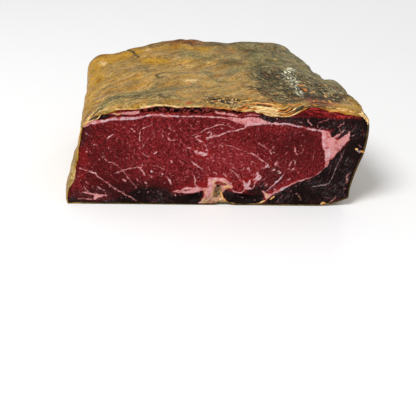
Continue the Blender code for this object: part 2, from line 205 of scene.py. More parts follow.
# Seams of fat on the cut face: width, tint, strength and path. Tints: 0 grey-white, 0.35 pink-white,
# 0.7 pink, 1 cream.
SEAMS = (
    (3.4, 0.9, 0.9, (-98, 61.5, -95, 63.5, -91, 65.4, -87, 66.2)),
    (2.4, 0.35, 1, (-92, 64.4, -88, 65, -84, 65.7, -80, 66.8)),
    (2.2, 0.12, 1, (-84, 65.6, -80, 66.9, -75, 67.8, -70, 68.3, -65, 68.3, -60, 68.6, -55, 69.7)),
    (1.9, 0.12, 1, (-57, 69.2, -52, 70.7, -49, 71.3, -45, 71.2, -40, 70.9, -35, 70.6, -30, 70.5)),
    (1.2, 0.35, 0.95, (
        -32, 70.5, -25, 70.6, -20, 70.7, -15, 70.8, -10, 70.5, -5, 70.3, 0, 70.2, 5, 69.5, 9, 68.6)),
    (1.5, 0.62, 0.85, (-5, 74.8, -2, 73.2, 3, 72.9, 8, 72.3, 12, 71.4)),
    (0.8, 0.66, 0.8, (17, 71.4, 20, 72.4, 24, 72.6, 28, 71.8)),
    (1.4, 0.22, 0.9, (34, 66.2, 40, 66, 45, 65.8)),
    (1.4, 0.08, 1, (44, 65.9, 47, 66.1, 50, 65.3, 53, 64.8, 57, 63.8)),
    (1.5, 0.08, 1, (55, 64.3, 60, 63.5, 63, 62.6, 66, 61.8, 69, 61.5, 72, 61, 75, 60, 76.5, 58)),
    (1.2, 0.75, 1, (86, 53.5, 89, 55.5, 91.5, 57.8, 93.8, 60.2)),
    (0.6, 0.5, 0.6, (92.4, 57.2, 94.8, 56.4, 96.4, 57.6, 97.6, 58.4)),
    (1.3, 0.75, 0.9, (82, 56.3, 85, 57.6, 87.2, 59.3)),
    (0.9, 0.12, 0.55, (91.5, 46, 90.5, 43, 89.5, 39, 88, 35.5, 86.5, 31, 85, 26, 84, 22.5, 82, 18.7)),
    (1.1, 0.05, 0.62, (84, 22.5, 82.3, 18.9, 78, 17.3, 74, 16.4, 70, 15.7)),
    (1, 0.1, 0.45, (77.5, 31, 76, 29, 74, 27, 71, 25, 68, 23)),
    (1.3, 0.3, 0.8, (69, 23.6, 64, 21.8, 60, 20.5, 57, 19.2)),
    (1.6, 0.55, 0.9, (58, 19.6, 54, 17.4, 50, 15.2)),
    (2.2, 0.05, 1, (51, 15, 48, 13.6, 46.5, 12.8, 44, 11)),
    (1.8, 0.45, 0.85, (46, 13, 41.5, 10, 40, 8.5, 37, 5)),
    (1, 0.05, 1, (49, 27, 47, 24, 45, 21, 42.5, 18.5, 40, 15.5, 37, 12.2)),
    (1.2, 0.1, 0.55, (37, 18, 35, 16)),
    (1, 0.55, 0.9, (10, 14.5, 11, 12.5, 12.5, 11, 15, 10.5, 18, 10.5, 19.5, 12, 20, 14.5)),
    (1.2, 0.15, 1, (18.5, 63, 17, 62, 15, 61.5, 13.5, 60.8, 11, 60.2)),
    (1.1, 0.28, 0.85, (12, 60.3, 10, 60, 7, 59.3, 4, 58.5, 0, 56.5, -4, 55.2, -7, 54.2, -9, 53)),
    (0.9, 0.3, 0.92, (-9, 57.4, -8.2, 59, -6.5, 59, -6, 57.5, -7.5, 56)),
    (0.8, 0.5, 0.7, (
        -20, 56, -17, 57, -14, 58.5, -12, 60, -9, 61.5, -5, 63, -1, 64.5, 1, 64.8, 4, 64, 7, 65.5)),
    (0.8, 0.5, 0.65, (3, 64.5, 6, 64, 8, 62.5, 11, 61.5)),
    (1.2, 0.45, 0.95, (-13.5, 56, -16, 55.5, -17, 54.8, -15.5, 53, -14, 51.5, -12.5, 51.8)),
    (1, 0.25, 0.95, (-19.5, 35.5, -18, 34, -16, 33, -14, 31.5, -12, 29.5, -10.5, 27.5)),
    (1, 0.4, 0.95, (-18.5, 25, -17.5, 23.5, -16.6, 21, -16.8, 18, -16, 16, -13.5, 14.2)),
    (1.2, 0.35, 0.95, (-37, 23, -36, 21, -34.5, 19, -33.8, 16.5)),
    (1, 0.45, 0.8, (-101, 29, -98, 28.3, -95, 27, -92, 26, -89, 25, -87.5, 22.5, -84, 19.8, -81, 17.5)),
    (0.9, 0.5, 0.75, (-83, 19, -78, 15, -75, 12.5, -71.5, 10.3, -68, 8, -64, 6, -61, 4, -59.5, 2.5)),
    (0.8, 0.5, 0.7, (-82, 37, -81, 35.5, -79, 34, -77, 34, -75, 32.5, -72.5, 31, -70.5, 29, -69, 27)),
    (0.9, 0.5, 0.7, (-70, 28.5, -67, 24.5, -65.8, 22, -64, 19.5, -62, 17, -60, 14.5)),
    (0.8, 0.4, 0.7, (-76.5, 24.5, -74, 25.5, -72, 26.7, -70, 28, -67, 28.8, -64, 29.5, -61, 30.5, -58, 31)),
    (0.9, 0.5, 0.95, (-59, 31, -57, 30, -56, 28.5, -54, 26, -53, 24)),
    (0.7, 0.5, 0.4, (-81, 27, -79, 24, -76, 21, -72, 19)),
    (1.3, 0.62, 0.85, (-99, 9.5, -96, 9, -93, 8, -89, 7.5, -86, 7, -84, 7, -81, 6.8)),
    (1, 0.5, 0.55, (-103, 4.3, -99, 4, -95, 3.8, -91, 3.5, -89, 4.5)),
    (1, 0.5, 0.75, (-97, 19, -95.5, 17, -94.5, 16)),
    (0.9, 0.5, 0.6, (-100.5, 14.5, -99.5, 13.5)),
    (1, 0.5, 0.7, (-98, 14.5, -96.5, 12, -95, 10.5, -94, 9.5)),
    (1.1, 0.5, 0.7, (-88, 14.5, -86, 12.5, -83, 11, -82.5, 10.5)),
    (1.1, 0.4, 0.9, (-80, 53, -78, 54.5, -76.5, 56)),
    (1, 0.5, 0.85, (-57, 60, -55, 61, -53, 61.8)),
    (0.9, 0.45, 0.95, (-57, 59, -57.5, 55, -57, 52, -56.5, 51)),
    (1.2, 0.2, 0.92, (-54.5, 47.5, -54, 49)),
    (1.1, 0.5, 0.95, (-47, 41.5, -46, 42.5, -45, 43.5)),
    (1.5, 0.6, 0.95, (-61.8, 58.4, -60.4, 58.8)),
    (0.9, 0.4, 0.75, (-30, 66, -28, 67.5)),
    (0.9, 0.6, 0.55, (-37, 53, -35, 52, -32, 52, -30, 54)),
    (0.8, 0.6, 0.67, (-48, 32, -44, 32, -41, 30, -38, 28.5)),
    (0.8, 0.35, 0.95, (28, 51, 31, 49, 34.5, 46.5)),
    (0.8, 0.5, 0.72, (36.5, 45, 38.5, 42)),
    (0.8, 0.5, 0.67, (0, 50, 7, 48.5, 14, 46, 18, 44.5, 22, 43)),
    (1.1, 0.3, 0.9, (21, 43.4, 23, 42.6, 25, 42, 28, 40.5)),
    (1.3, 0.45, 0.95, (42.8, 36.8, 41.8, 35, 41.4, 33)),
    (0.7, 0.3, 0.95, (43.4, 36, 42.8, 34.4)),
    (1.2, 0.12, 1, (33.8, 30.8, 35, 32.2, 36.2, 34)),
    (0.7, 0.12, 0.95, (32.6, 31.4, 33.6, 30.2)),
    (0.6, 0.3, 0.92, (36.4, 31.6, 37.6, 33)),
    (1.1, 0.4, 0.85, (39.6, 29, 40.6, 30.2, 41.6, 29.4)),
    (0.8, 0.15, 0.95, (42.8, 28.4, 44.4, 28.8, 46, 27.4)),
    (0.7, 0.15, 0.9, (43.6, 27, 45.4, 26.6, 46.4, 27.8)),
    (0.6, 0.3, 0.92, (43, 33.6, 44.6, 31.6)),
    (0.7, 0.3, 0.95, (54.4, 38, 55.8, 36.4, 56, 34.4)),
    (0.8, 0.35, 0.95, (53, 29, 54.4, 30.4, 55.4, 30.2)),
    (1.2, 0.25, 0.85, (53, 37, 52.6, 34.5, 51.8, 33)),
    (1.2, 0.6, 0.85, (55, 47.4, 55, 45, 57, 42)),
    (0.8, 0.6, 0.5, (61, 47, 60.5, 43)),
    (1.1, 0.6, 0.55, (69, 44, 69, 40, 68.5, 36)),
    (1, 0.4, 0.82, (53, 29.5, 55, 31)),
    (0.9, 0.3, 0.82, (22, 31.6, 21.5, 29.5)),
    (1.4, 0.15, 1, (4, 25.8, 5.2, 24.6, 6, 23.6)),
    (0.9, 0.35, 0.95, (-4.4, 27.2, -2.4, 26.8, -0.6, 25.2)),
    (1.4, 0.7, 0.5, (97, 27.5, 95.5, 24, 96, 21, 95.5, 18.5)),
    (1.6, 0.7, 0.5, (94, 14.4, 95.4, 13.8)),
    (1.4, 0.5, 0.45, (83, 2, 85, 3, 87, 5, 89, 8)),
    (0.8, 0.5, 0.95, (62.8, 69.4, 63, 67.8, 64.4, 66.8, 65.8, 65.2)),
    (0.6, 0.6, 0.75, (70.4, 63.6, 69.8, 65.4, 70.2, 67, 71.6, 68, 72.4, 67.4)),
    (0.6, 0.6, 0.65, (72.4, 67.6, 73.8, 68.9, 75.6, 68.8, 77, 69.8, 78, 71)),
    (0.5, 0.6, 0.4, (76.6, 66.4, 77.6, 65.4, 77.2, 63.8)),
    (0.6, 0.55, 0.8, (88.4, 67.8, 88.2, 66.2, 86.4, 65.8, 86.2, 64.6, 84.8, 64)),
    (0.7, 0.5, 0.85, (86.2, 63, 86.6, 61, 87.8, 60, 89, 61, 90.2, 61.8, 91.6, 61.2)),
    (0.6, 0.6, 0.35, (83, 38, 82.5, 34, 82.3, 30, 81, 24, 80.3, 20)),
    (1.6, 0.3, 0.9, (-95.2, 42.5, -94.8, 42.1)),
    (1.1, 0.45, 0.6, (-90.6, 46.4, -89.4, 48.6)),
    (1.2, 0.15, 0.6, (-94.2, 33.8, -93.6, 32.4)),
    (1.4, 0.4, 0.8, (-82.4, 37, -81.2, 34.8)),
    (1.5, 0.3, 0.9, (-72.8, 26.5, -72, 26.2)),
    (1.3, 0.35, 0.9, (-69.2, 20.6, -67.2, 18.9)),
    (1, 0.5, 0.6, (-69.2, 61.2, -66, 61.2)),
    (0.9, 1, 0.7, (-63.4, 60.6, -62, 60.3)),
    (1.2, 0.55, 0.6, (-79.5, 46, -79, 44)),
    (1.1, 0.45, 0.82, (-59.5, 21.4, -58.4, 19)),
    (1.1, 0.5, 0.6, (-60.4, 15.2, -59.8, 13.2)),
    (1.5, 0.3, 0.9, (-53.3, 18.5, -52, 17)),
    (0.9, 0.5, 0.5, (-53, 62, -48, 64.2)),
    (1, 0.5, 0.68, (-55.2, 42.2, -53.5, 40.5, -50, 39.2)),
    (1.9, 0.25, 1, (-48.9, 27.7, -48.3, 27.3)),
    (1.8, 0.3, 1, (-41, 25.4, -40.4, 25)),
    (1.2, 0.45, 0.92, (-49, 23.8, -47.8, 22)),
    (1, 0.55, 0.82, (-44, 60, -43.2, 59)),
    (1, 0.55, 0.6, (-41.8, 57.8, -40.4, 55.2)),
    (1.2, 0.45, 0.66, (-37.2, 54, -35.6, 52.2)),
    (1.1, 0.4, 0.8, (-17, 66.8, -15.4, 66.3)),
    (1.2, 0.55, 0.6, (-23.4, 46.4, -20.4, 46.6)),
    (1.1, 0.6, 0.92, (-34.2, 36.8, -33.8, 34.8)),
    (1.6, 0.95, 0.9, (-38.8, 70.3, -35.4, 70.2)),
    (1.1, 0.15, 0.95, (-9.5, 54.6, -6, 55.3, -2, 56.6)),
    (1, 0.2, 0.95, (-9.4, 45.8, -8.2, 44.2)),
    (0.8, 0.35, 0.62, (-12, 51, -9.5, 48, -8.6, 45)),
    (0.8, 0.2, 0.72, (-9, 39, -6, 36.4)),
    (0.8, 0.3, 0.67, (-0.6, 47.6, 0.8, 49.2, 2.4, 47.8, 1.2, 46, -0.4, 46.8)),
    (1.2, 0.45, 0.92, (0.8, 61.8, 2, 61.6)),
    (0.9, 0.4, 0.82, (27, 40.8, 31, 37.6, 35, 35)),
    (0.9, 0.1, 0.72, (17.4, 28.4, 18.8, 30.4)),
    (0.7, 0.15, 0.92, (8.4, 29.6, 11, 27.8, 13.4, 25.4, 15.6, 22.6, 17.4, 19.4)),
    (0.6, 0.2, 0.82, (9.4, 31.6, 12, 30, 14.6, 28.8)),
    (0.6, 0.2, 0.77, (12.4, 26, 15, 25.4, 16.6, 23.4)),
    (0.8, 0.2, 0.92, (16.6, 28.4, 18.2, 29.6, 18.6, 31.2)),
    (0.9, 0.2, 0.85, (21.2, 29.8, 22.4, 31.4, 22.6, 29.4, 23.6, 27.6)),
    (0.6, 0.3, 0.82, (24, 24.6, 26.2, 25.6, 28, 27.4)),
    (0.6, 0.3, 0.82, (27, 31.6, 29, 29.6, 30.4, 29.8)),
    (0.6, 0.25, 0.77, (23, 36.4, 25.4, 36, 27.2, 34.6)),
    (0.6, 0.3, 0.72, (17.6, 24.6, 19.6, 22.6)),
    (0.7, 0.3, 0.82, (34.2, 21, 35.6, 23.4)),
    (0.6, 0.4, 0.5, (31, 14.6, 33.2, 17.4, 36.4, 19.4)),
    (1.2, 0.15, 0.7, (42, 13.6, 43.2, 12.6)),
    (1.5, 0.2, 0.75, (33.6, 12, 34.8, 11)),
    (1.6, 0.42, 1, (18.4, 20, 19.8, 17.6, 20.6, 15.4, 20.8, 13.4)),
    (2.2, 0.36, 1, (23.9, 20.6, 23, 18, 22.2, 15.8, 22, 13.6)),
    (1.4, 0.3, 1, (20.4, 16.8, 22, 15.4, 24, 14.2, 26, 13.4)),
    (1, 0.15, 1, (21.4, 18.8, 21.6, 17, 21.2, 15)),
    (1.5, 0.48, 1, (20.6, 14, 23, 13.4, 25, 13.2)),
    (1.2, 0.34, 1, (26.6, 14.6, 27.2, 17.4, 28, 20.6, 28.6, 24, 29.5, 27.4)),
    (2.2, 0.42, 1, (28.2, 20.2, 29.3, 22.4, 29.3, 25.2)),
    (1.2, 0.36, 0.95, (29.4, 20.8, 30.8, 21.8, 31.4, 23.4, 30.2, 25.4)),
    (0.8, 0.3, 0.9, (27.2, 24.8, 28.2, 25.8, 28.6, 27.6)),
    (0.8, 0.3, 0.9, (25.6, 20.6, 27, 21.4, 28.2, 22.6)),
    (1, 0.5, 0.82, (51.6, 21, 53.6, 22.6)),
    (0.8, 0.5, 0.5, (55.4, 67.4, 59, 67.2)),
    (0.6, 0.6, 0.5, (80.4, 67.8, 81.4, 66.6, 81, 65.4)),
    (0.9, 0.6, 0.6, (72.6, 63.2, 71.4, 61.6)),
    (1.2, 0.1, 0.5, (88.6, 43, 89.6, 41.6)),
    (1.6, 0.15, 0.9, (101, 45, 102.4, 44.2, 103, 45.4)),
    (1.6, 0.05, 0.4, (101.4, 50.4, 103.2, 48.4)),
    (1, 0.15, 0.35, (78, 7.4, 83, 6, 86, 5.6, 88, 7)),
    (1, 0.55, 0.35, (62, 8.6, 60.4, 7)),
    (1, 0.8, 0.35, (61, 5.6, 63.6, 4)),
)

LEAN_TONES = (  # lean that is brighter (+) or deeper (-): change, width, soft edge, path
    (-0.37, 30, 14, (-92, 52, -80, 34, -84, 18)),
    (0.06, 24, 12, (-52, 50, -46, 28)),
    (0.24, 22, 12, (-16, 40, 4, 40, 26, 36)),
    (-0.06, 14, 8, (20, 56, 50, 56, 68, 50)),
    (-0.22, 20, 8, (46, 48, 66, 46, 70, 36)),
    (-0.28, 16, 9, (-92, 14, -60, 14, -36, 18)),
    (-0.16, 12, 9, (14, 55, 34, 53, 50, 44)),
    (0.12, 9, 8, (-12, 36, 4, 33)),
    (-0.24, 8, 7, (42, 28, 56, 23)),
)

# Larger fields of fat: tint, strength, outline
FIELDS = {
    "strip under the left lip": (0.66, 0.6, (
        -79, 71.6, -74, 72.2, -70, 72.8, -66, 73.4, -60, 74.4, -57, 74.4, -57.4, 72.2, -62, 71.1,
        -68, 71.2, -74, 71)),
    "patch on the seam": (0.55, 1, (
        4, 70.2, 9, 70.6, 13, 69.9, 15, 69.2, 18, 70.2, 21, 70.9, 24, 70.2, 27, 70.5, 30, 69, 33, 67.6,
        36, 66.8, 37, 65.8, 33, 65.5, 29, 65, 25, 64.5, 22, 64, 19, 63.5, 18, 62.5, 17.5, 64.5, 14, 65.5,
        11, 66.5, 8, 68)),
    "wedge": (0.66, 1, (
        73, 60, 74, 61.3, 78, 60.5, 79.5, 59.5, 80, 57, 81, 56, 83, 56.5, 85, 57.5, 87, 59, 86.5, 57.5,
        84.2, 56, 83.2, 55.2, 84.2, 54.4, 86, 54, 88, 54.6, 90, 55.8, 92, 57.5, 93.8, 60, 94.2, 58,
        93.5, 56, 94, 54.5, 92.5, 52.5, 91, 50, 89.5, 48, 87.5, 45.5, 85.5, 43, 84, 40.5, 82.5, 38.5,
        81, 38, 80.5, 35, 79.5, 32.5, 78, 31.5, 78, 33.5, 78.3, 36, 77.5, 39, 77.3, 42, 76.5, 46,
        75, 48.5, 74.3, 51, 74, 55, 74.2, 58)),
    "wing of the knot": (0.52, 1, (
        -33, 11, -30, 12, -27, 12, -24.5, 14, -22, 14.8, -19, 14.2, -15, 15, -12, 14.3, -9, 14,
        -7.5, 14.5, -6, 10, -11, 12, -14, 10.8, -17, 9.7, -19, 9, -23, 9.2, -26, 10, -29, 10, -33, 10.5)),
    "knot": (0.93, 1, (
        -7.5, 14.5, -7, 17, -7.2, 20, -7, 22.5, -5.5, 23, -2, 22.6, 0, 22.8, 3, 22.9, 5, 22.3, 7, 21,
        9, 19, 10, 17, 11.5, 15, 10.5, 13.5, 9, 14.5, 7, 13.5, 5.5, 12.5, 4.5, 10.5, 3.5, 9, 4.5, 6, 6, 3,
        8, 1.2, -14, 1, -12, 2.5, -10.5, 5, -9.5, 8, -10, 11, -11, 12)),
    "blob in the middle": (0.3, 0.74, (
        -18.5, 43.5, -17.5, 44.5, -16, 45, -15, 43.5, -13, 43.5, -11, 43, -9, 42.5, -7.5, 42, -8.5, 41,
        -10.5, 40, -12, 40.5, -14, 41, -16, 42, -18, 42.8)),
    "low left": (0.62, 0.85, (-90, 7.5, -86, 7.8, -81, 7, -84, 6, -87, 5, -89, 4, -91, 3.7)),
    "brown blob": (1, 0.9, (33.5, 12, 36, 10.5, 38, 9.5, 40, 9.5, 39, 7, 37, 5, 35.5, 7, 35, 9)),
}
LIGHT_EDGES = (  # lighter rims and cords inside the fields: width, tint, path
    (2.8, 0.36, (-6.6, 11, -6.2, 17, -5.8, 22.3, 0, 22, 4, 22.3, 8, 20, 10.6, 16)),
    (1.2, 0.2, (-5.6, 9, -5.2, 14, -5.2, 20)),
    (1.6, 0.9, (-3.4, 12, -3.2, 18)),
    (1.2, 0.5, (-8.6, 3, -7.4, 8, -6.6, 12)),
    (2.6, 1, (-1, 18.6, 3, 18.8, 6.6, 17, 8.6, 14.8)),
    (5, 1, (-11, 2.6, -3, 3.6, 4, 2.6)),
    (1.2, 0.4, (-8, 9, -6, 6, -4.4, 4.4)),
    (2.6, 0.3, (74.5, 59, 75.5, 54, 76.5, 50, 78, 44, 79, 38, 79, 33)),
    (3, 0.72, (84, 50, 88, 52, 92, 55.5)),
    (1.4, 0.7, (80.5, 57, 81, 50, 83, 46)),
    (2, 0.15, (77.5, 51, 80, 45, 80.6, 40)),
    (1.2, 0.1, (20.4, 19, 21.3, 15.4, 23.4, 14.2)),
    (1, 0.15, (28.4, 18.2, 29.4, 22.6, 29.4, 26)),
    (1.2, 0.25, (22, 64.6, 27, 65.6, 33, 66, 37, 66.2)),
    (1.2, 0.15, (17, 63.4, 18.4, 65, 21, 65.4)),
)
RED_ISLANDS = (  # lean that shows inside the fat: outline, strength
    ((-27.5, 11.1, -24, 12.4, -20.5, 13.2, -18.5, 12.6, -21.5, 11.2, -25, 10.7), 0.72),
    ((-2.4, 19.4, 0, 20.2, 3, 19.8, 6, 18.2, 7.4, 16.6, 5, 15.8, 2, 15.6, 0, 16.8, -2, 17.4), 0.72),
    ((-3.6, 8, -3.4, 14, -2, 14.4, -1.4, 11, -2, 8), 0.35),
    ((-1, 16.8, 1.7, 16.2, 2.1, 14, 0.3, 13.2, -1.2, 14.6), 1),
    ((76.3, 59.8, 77.6, 59.2, 77.4, 57.6, 76.2, 58.2), 0.5),
)

# Dried, darkened lean: strength, soft edge in millimetres, outline
DRY_AREAS = (
    (0.86, 1.6, (
        27, 64, 40, 66.5, 56, 65, 70, 62, 80, 61.5, 96, 62, 96, 71.5, 84, 70.5, 60, 71.8, 46, 71.5,
        30, 73.5, 26, 72)),
    (0.92, 2.5, (90, 60, 110, 60, 110, 73, 98, 71, 92, 70)),
    (0.97, 1.2, (
        79.5, 60, 81, 56.5, 95, 55, 92, 50, 84, 40.5, 81, 37, 78.5, 31, 74, 26.5, 80, 15, 100, 3, 110, 8,
        112, 70, 96, 66, 84, 64)),
    (1, 1, (
        78, 31.5, 74, 26.4, 68, 22.4, 60, 19.8, 54, 16.2, 48, 13.2, 42, 9, 38, 5, 34, -2, 112, -2,
        112, 30, 86, 34)),
    (0.9, 3.4, (
        -112, -2, -112, 6, -104, 7, -98, 4, -90, 3, -82, 4, -74, 6, -66, 10, -60, 14, -52, 15.5, -44, 15,
        -38, 13, -33, 10, -22, 9, -12, 9, -12, -2)),
    (0.55, 5, (-112, -2, -112, 13, -100, 13, -84, 16, -60, 21, -44, 19, -33, 16, -24, 9, -24, -2)),
    (1, 1, (-24, 1, -21, 6.5, -17, 9.2, -14.5, 10.4, -11.5, 11.4, -10.4, 8.5, -11.5, 4.5, -13.5, 1)),
    (1, 0.6, (-1, 16.8, 1.7, 16.2, 2.1, 14, 0.3, 13.2, -1.2, 14.6)),
    (1, 0.8, (
        4, 12.6, 7, 12.3, 10, 10.9, 14, 9.9, 20, 9.4, 26, 8.2, 30, 9.4, 34, 10, 35, 5, 33, 1, 30, -2,
        10, -2, 6.5, 4.5, 4, 8.6)),
    (0.75, 2, (28, 17, 33, 21, 38, 14, 36, 9, 26, 8, 20, 10)),
    (0.45, 2.5, (28, 30, 44, 34, 50, 22, 42, 12, 30, 12, 27, 20)),
    (1, 0.8, (-92, 67, -84, 67.4, -79, 69, -78, 71.4, -84, 70.6, -91, 68.4)),
    (0.8, 0.8, (-79, 69.4, -70, 70.2, -58, 70.8, -57, 71.6, -70, 71.2, -79, 70.8)),
    (0.9, 0.6, (-80, 73.2, -70, 74.6, -57, 75.6, -57, 76.4, -70, 75.8, -80, 74.4)),
    (0.36, 7, (44, 52, 60, 48, 74, 50, 73, 60, 58, 64, 46, 65)),
    (0.22, 9, (38, 30, 56, 28, 70, 34, 74, 44, 72, 58, 52, 63, 34, 60)),
    (0.5, 1.4, (-100, 60, -97, 61.6, -92, 63, -92, 58, -97, 46, -101, 46)),
)

# The gap is recessed and also painted near black, as shade under the lip.
GAP = (  # outline of the dark gap under the lip
    -57.5, 76.4, -57, 72.9, -48, 72.9, -38, 72.6, -30, 72, -14, 71.9, -8, 72.3, -5.6, 74, -1, 73.9,
    5, 73.6, 9, 72.8, 13, 72.4, 15, 73.2, 14, 79, -57, 79
)

RAW = (  # bright wet red: strength, soft edge, outline
    (1, 0.8, (
        55, 75, 60, 78, 66, 79.5, 72, 79, 77, 77, 83, 75.5, 90, 73.5, 95, 72, 90, 70.5, 84, 70.5,
        78, 71.5, 70, 71.5, 60, 72, 50, 72)),
    (0.6, 0.8, (
        -88, 66.4, -80, 69.5, -72, 71.2, -60, 71.8, -57, 72.2, -57, 70.4, -66, 69.4, -76, 68.8, -86, 66.4)),
    (0.6, 0.8, (-57, 72.6, -45, 73, -20, 72.4, -6, 72.6, 6, 70.8, 6, 70, -20, 71.4, -45, 72, -57, 71)),
    (0.3, 1.6, (28, 64, 40, 67, 56, 65, 70, 62, 80, 61.5, 94, 62, 94, 72, 60, 72, 46, 72, 30, 73.5)),
    (0.7, 0.9, (12, 71, 20, 71.6, 30, 72.6, 48, 71.6, 60, 71.6, 60, 70.4, 46, 70, 34, 69.6, 28, 70.8)),
)

HALOS = (  # brighter red beside the fat: reach in millimetres, strength, path
    (2.6, 0.8, (-33, 12.5, -24, 15.5, -14, 16.2, -8.4, 15.5, -8.4, 23.6, 3, 24, 8, 22, 12, 16)),
    (3, 0.8, (-19, 46, -14, 45, -8, 44, -6.6, 41.5, -10, 39, -16, 40.6)),
    (2.2, 0.7, (13, 16, 16, 13, 19, 15, 19.4, 19, 22.5, 21.6, 26.5, 23.5, 28, 27.6, 31, 27.4)),
    (1.8, 0.8, (40, 11, 46, 15.4, 54, 18.8, 60, 22)),
    (1.6, 0.6, (-16, 57.3, -11, 56, -10, 52.5, -13, 50.6)),
    (2.4, 0.55, (-96.5, 45, -96, 36, -97, 25, -101, 20)),
    (2, 0.5, (62, 75.5, 70, 75, 80, 74)),
    (5.5, 1, (-13.5, 16.6, -9.5, 17)),
    (2.6, 1, (-1.4, 18.6, 3, 19, 6.6, 17)),
    (3.4, 0.9, (17.6, 20, 20, 21.6, 25, 20, 26.4, 26, 29, 29.6, 32.4, 27)),
    (3, 0.8, (-22, 16, -17.5, 16.6)),
    (2.4, 0.6, (-99, 43, -98, 30)),
    (1.4, 0.5, (86, 42, 83.5, 38.6, 84, 33)),
)

# Painted highlights on the wet meat of the raw band and under the lip.
WET_HIGHLIGHTS = (  # bright wet highlights of the raw band: width, strength, path
    (1.6, 0.55, (62, 77, 66, 77.6, 72, 77.2, 76, 76)),
    (1.8, 0.8, (74, 74.4, 79, 74.2, 84, 73.2)),
    (1.5, 0.7, (84, 72.6, 89, 72.2, 94, 71.2)),
    (1, 0.5, (64, 74.2, 70, 75.2)),
    (0.9, 0.5, (96, 71, 99, 70.4)),
    (0.8, 0.45, (12, 71.4, 15, 70.4, 17, 71.6)),
    (0.8, 0.35, (-22, 74.6, -16, 74.2, -9, 72.6)),
    (0.8, 0.35, (-44, 76.2, -38, 75.6)),
)

GOLDEN = (  # golden and tan crumbs on the cut: width, strength, path
    (1.4, 1, (99.6, 47.2, 100.8, 46.4)),
    (1.3, 1, (103.6, 45.2, 105.8, 45)),
    (0.7, 0.8, (-77, 72.2, -75, 72, -72, 71.1, -70, 72.4)),
    (1.2, 0.8, (40, 5, 41, 6, 42.4, 7)),
    (1, 0.8, (30, 1.2, 32, 1.6, 34, 3, 36, 4)),
    (1.1, 0.8, (3, 10, 3.5, 8, 5, 5, 6.5, 3, 9, 1.6, 13, 1.2)),
    (1.6, 0.55, (5, 14.4, 7, 15.4, 9.4, 14.6)),
    (0.7, 0.7, (-2.6, 13.4, -3, 11, -2.2, 8.6, -0.4, 6.4)),
    (0.8, 0.55, (1.8, 12.8, 2.2, 10, 3.4, 7, 5, 4.4)),
    (1.4, 0.85, (78, 2, 81, 2.5)),
    (1.1, 0.6, (-97, 63, -94, 65, -91, 66.8)),
    (1, 0.5, (13.5, 74.6, 18, 75, 24, 75)),
    (0.9, 0.4, (60, 9, 61.5, 7, 63, 5)),
)

OLIVE = (  # dull olive-brown lining of the knot's hollow: outline, strength
    ((-3.2, 6, -3, 10, -2.2, 13.4, 0.2, 14, 2.6, 14, 3.8, 12, 3.2, 9, 3.6, 6.4, 1, 5), 0.85),
    ((-12.5, 1, -10, 6, -7, 8, -3.4, 8, -1.8, 4, 5, 4, 8, 1), 0.42),
)

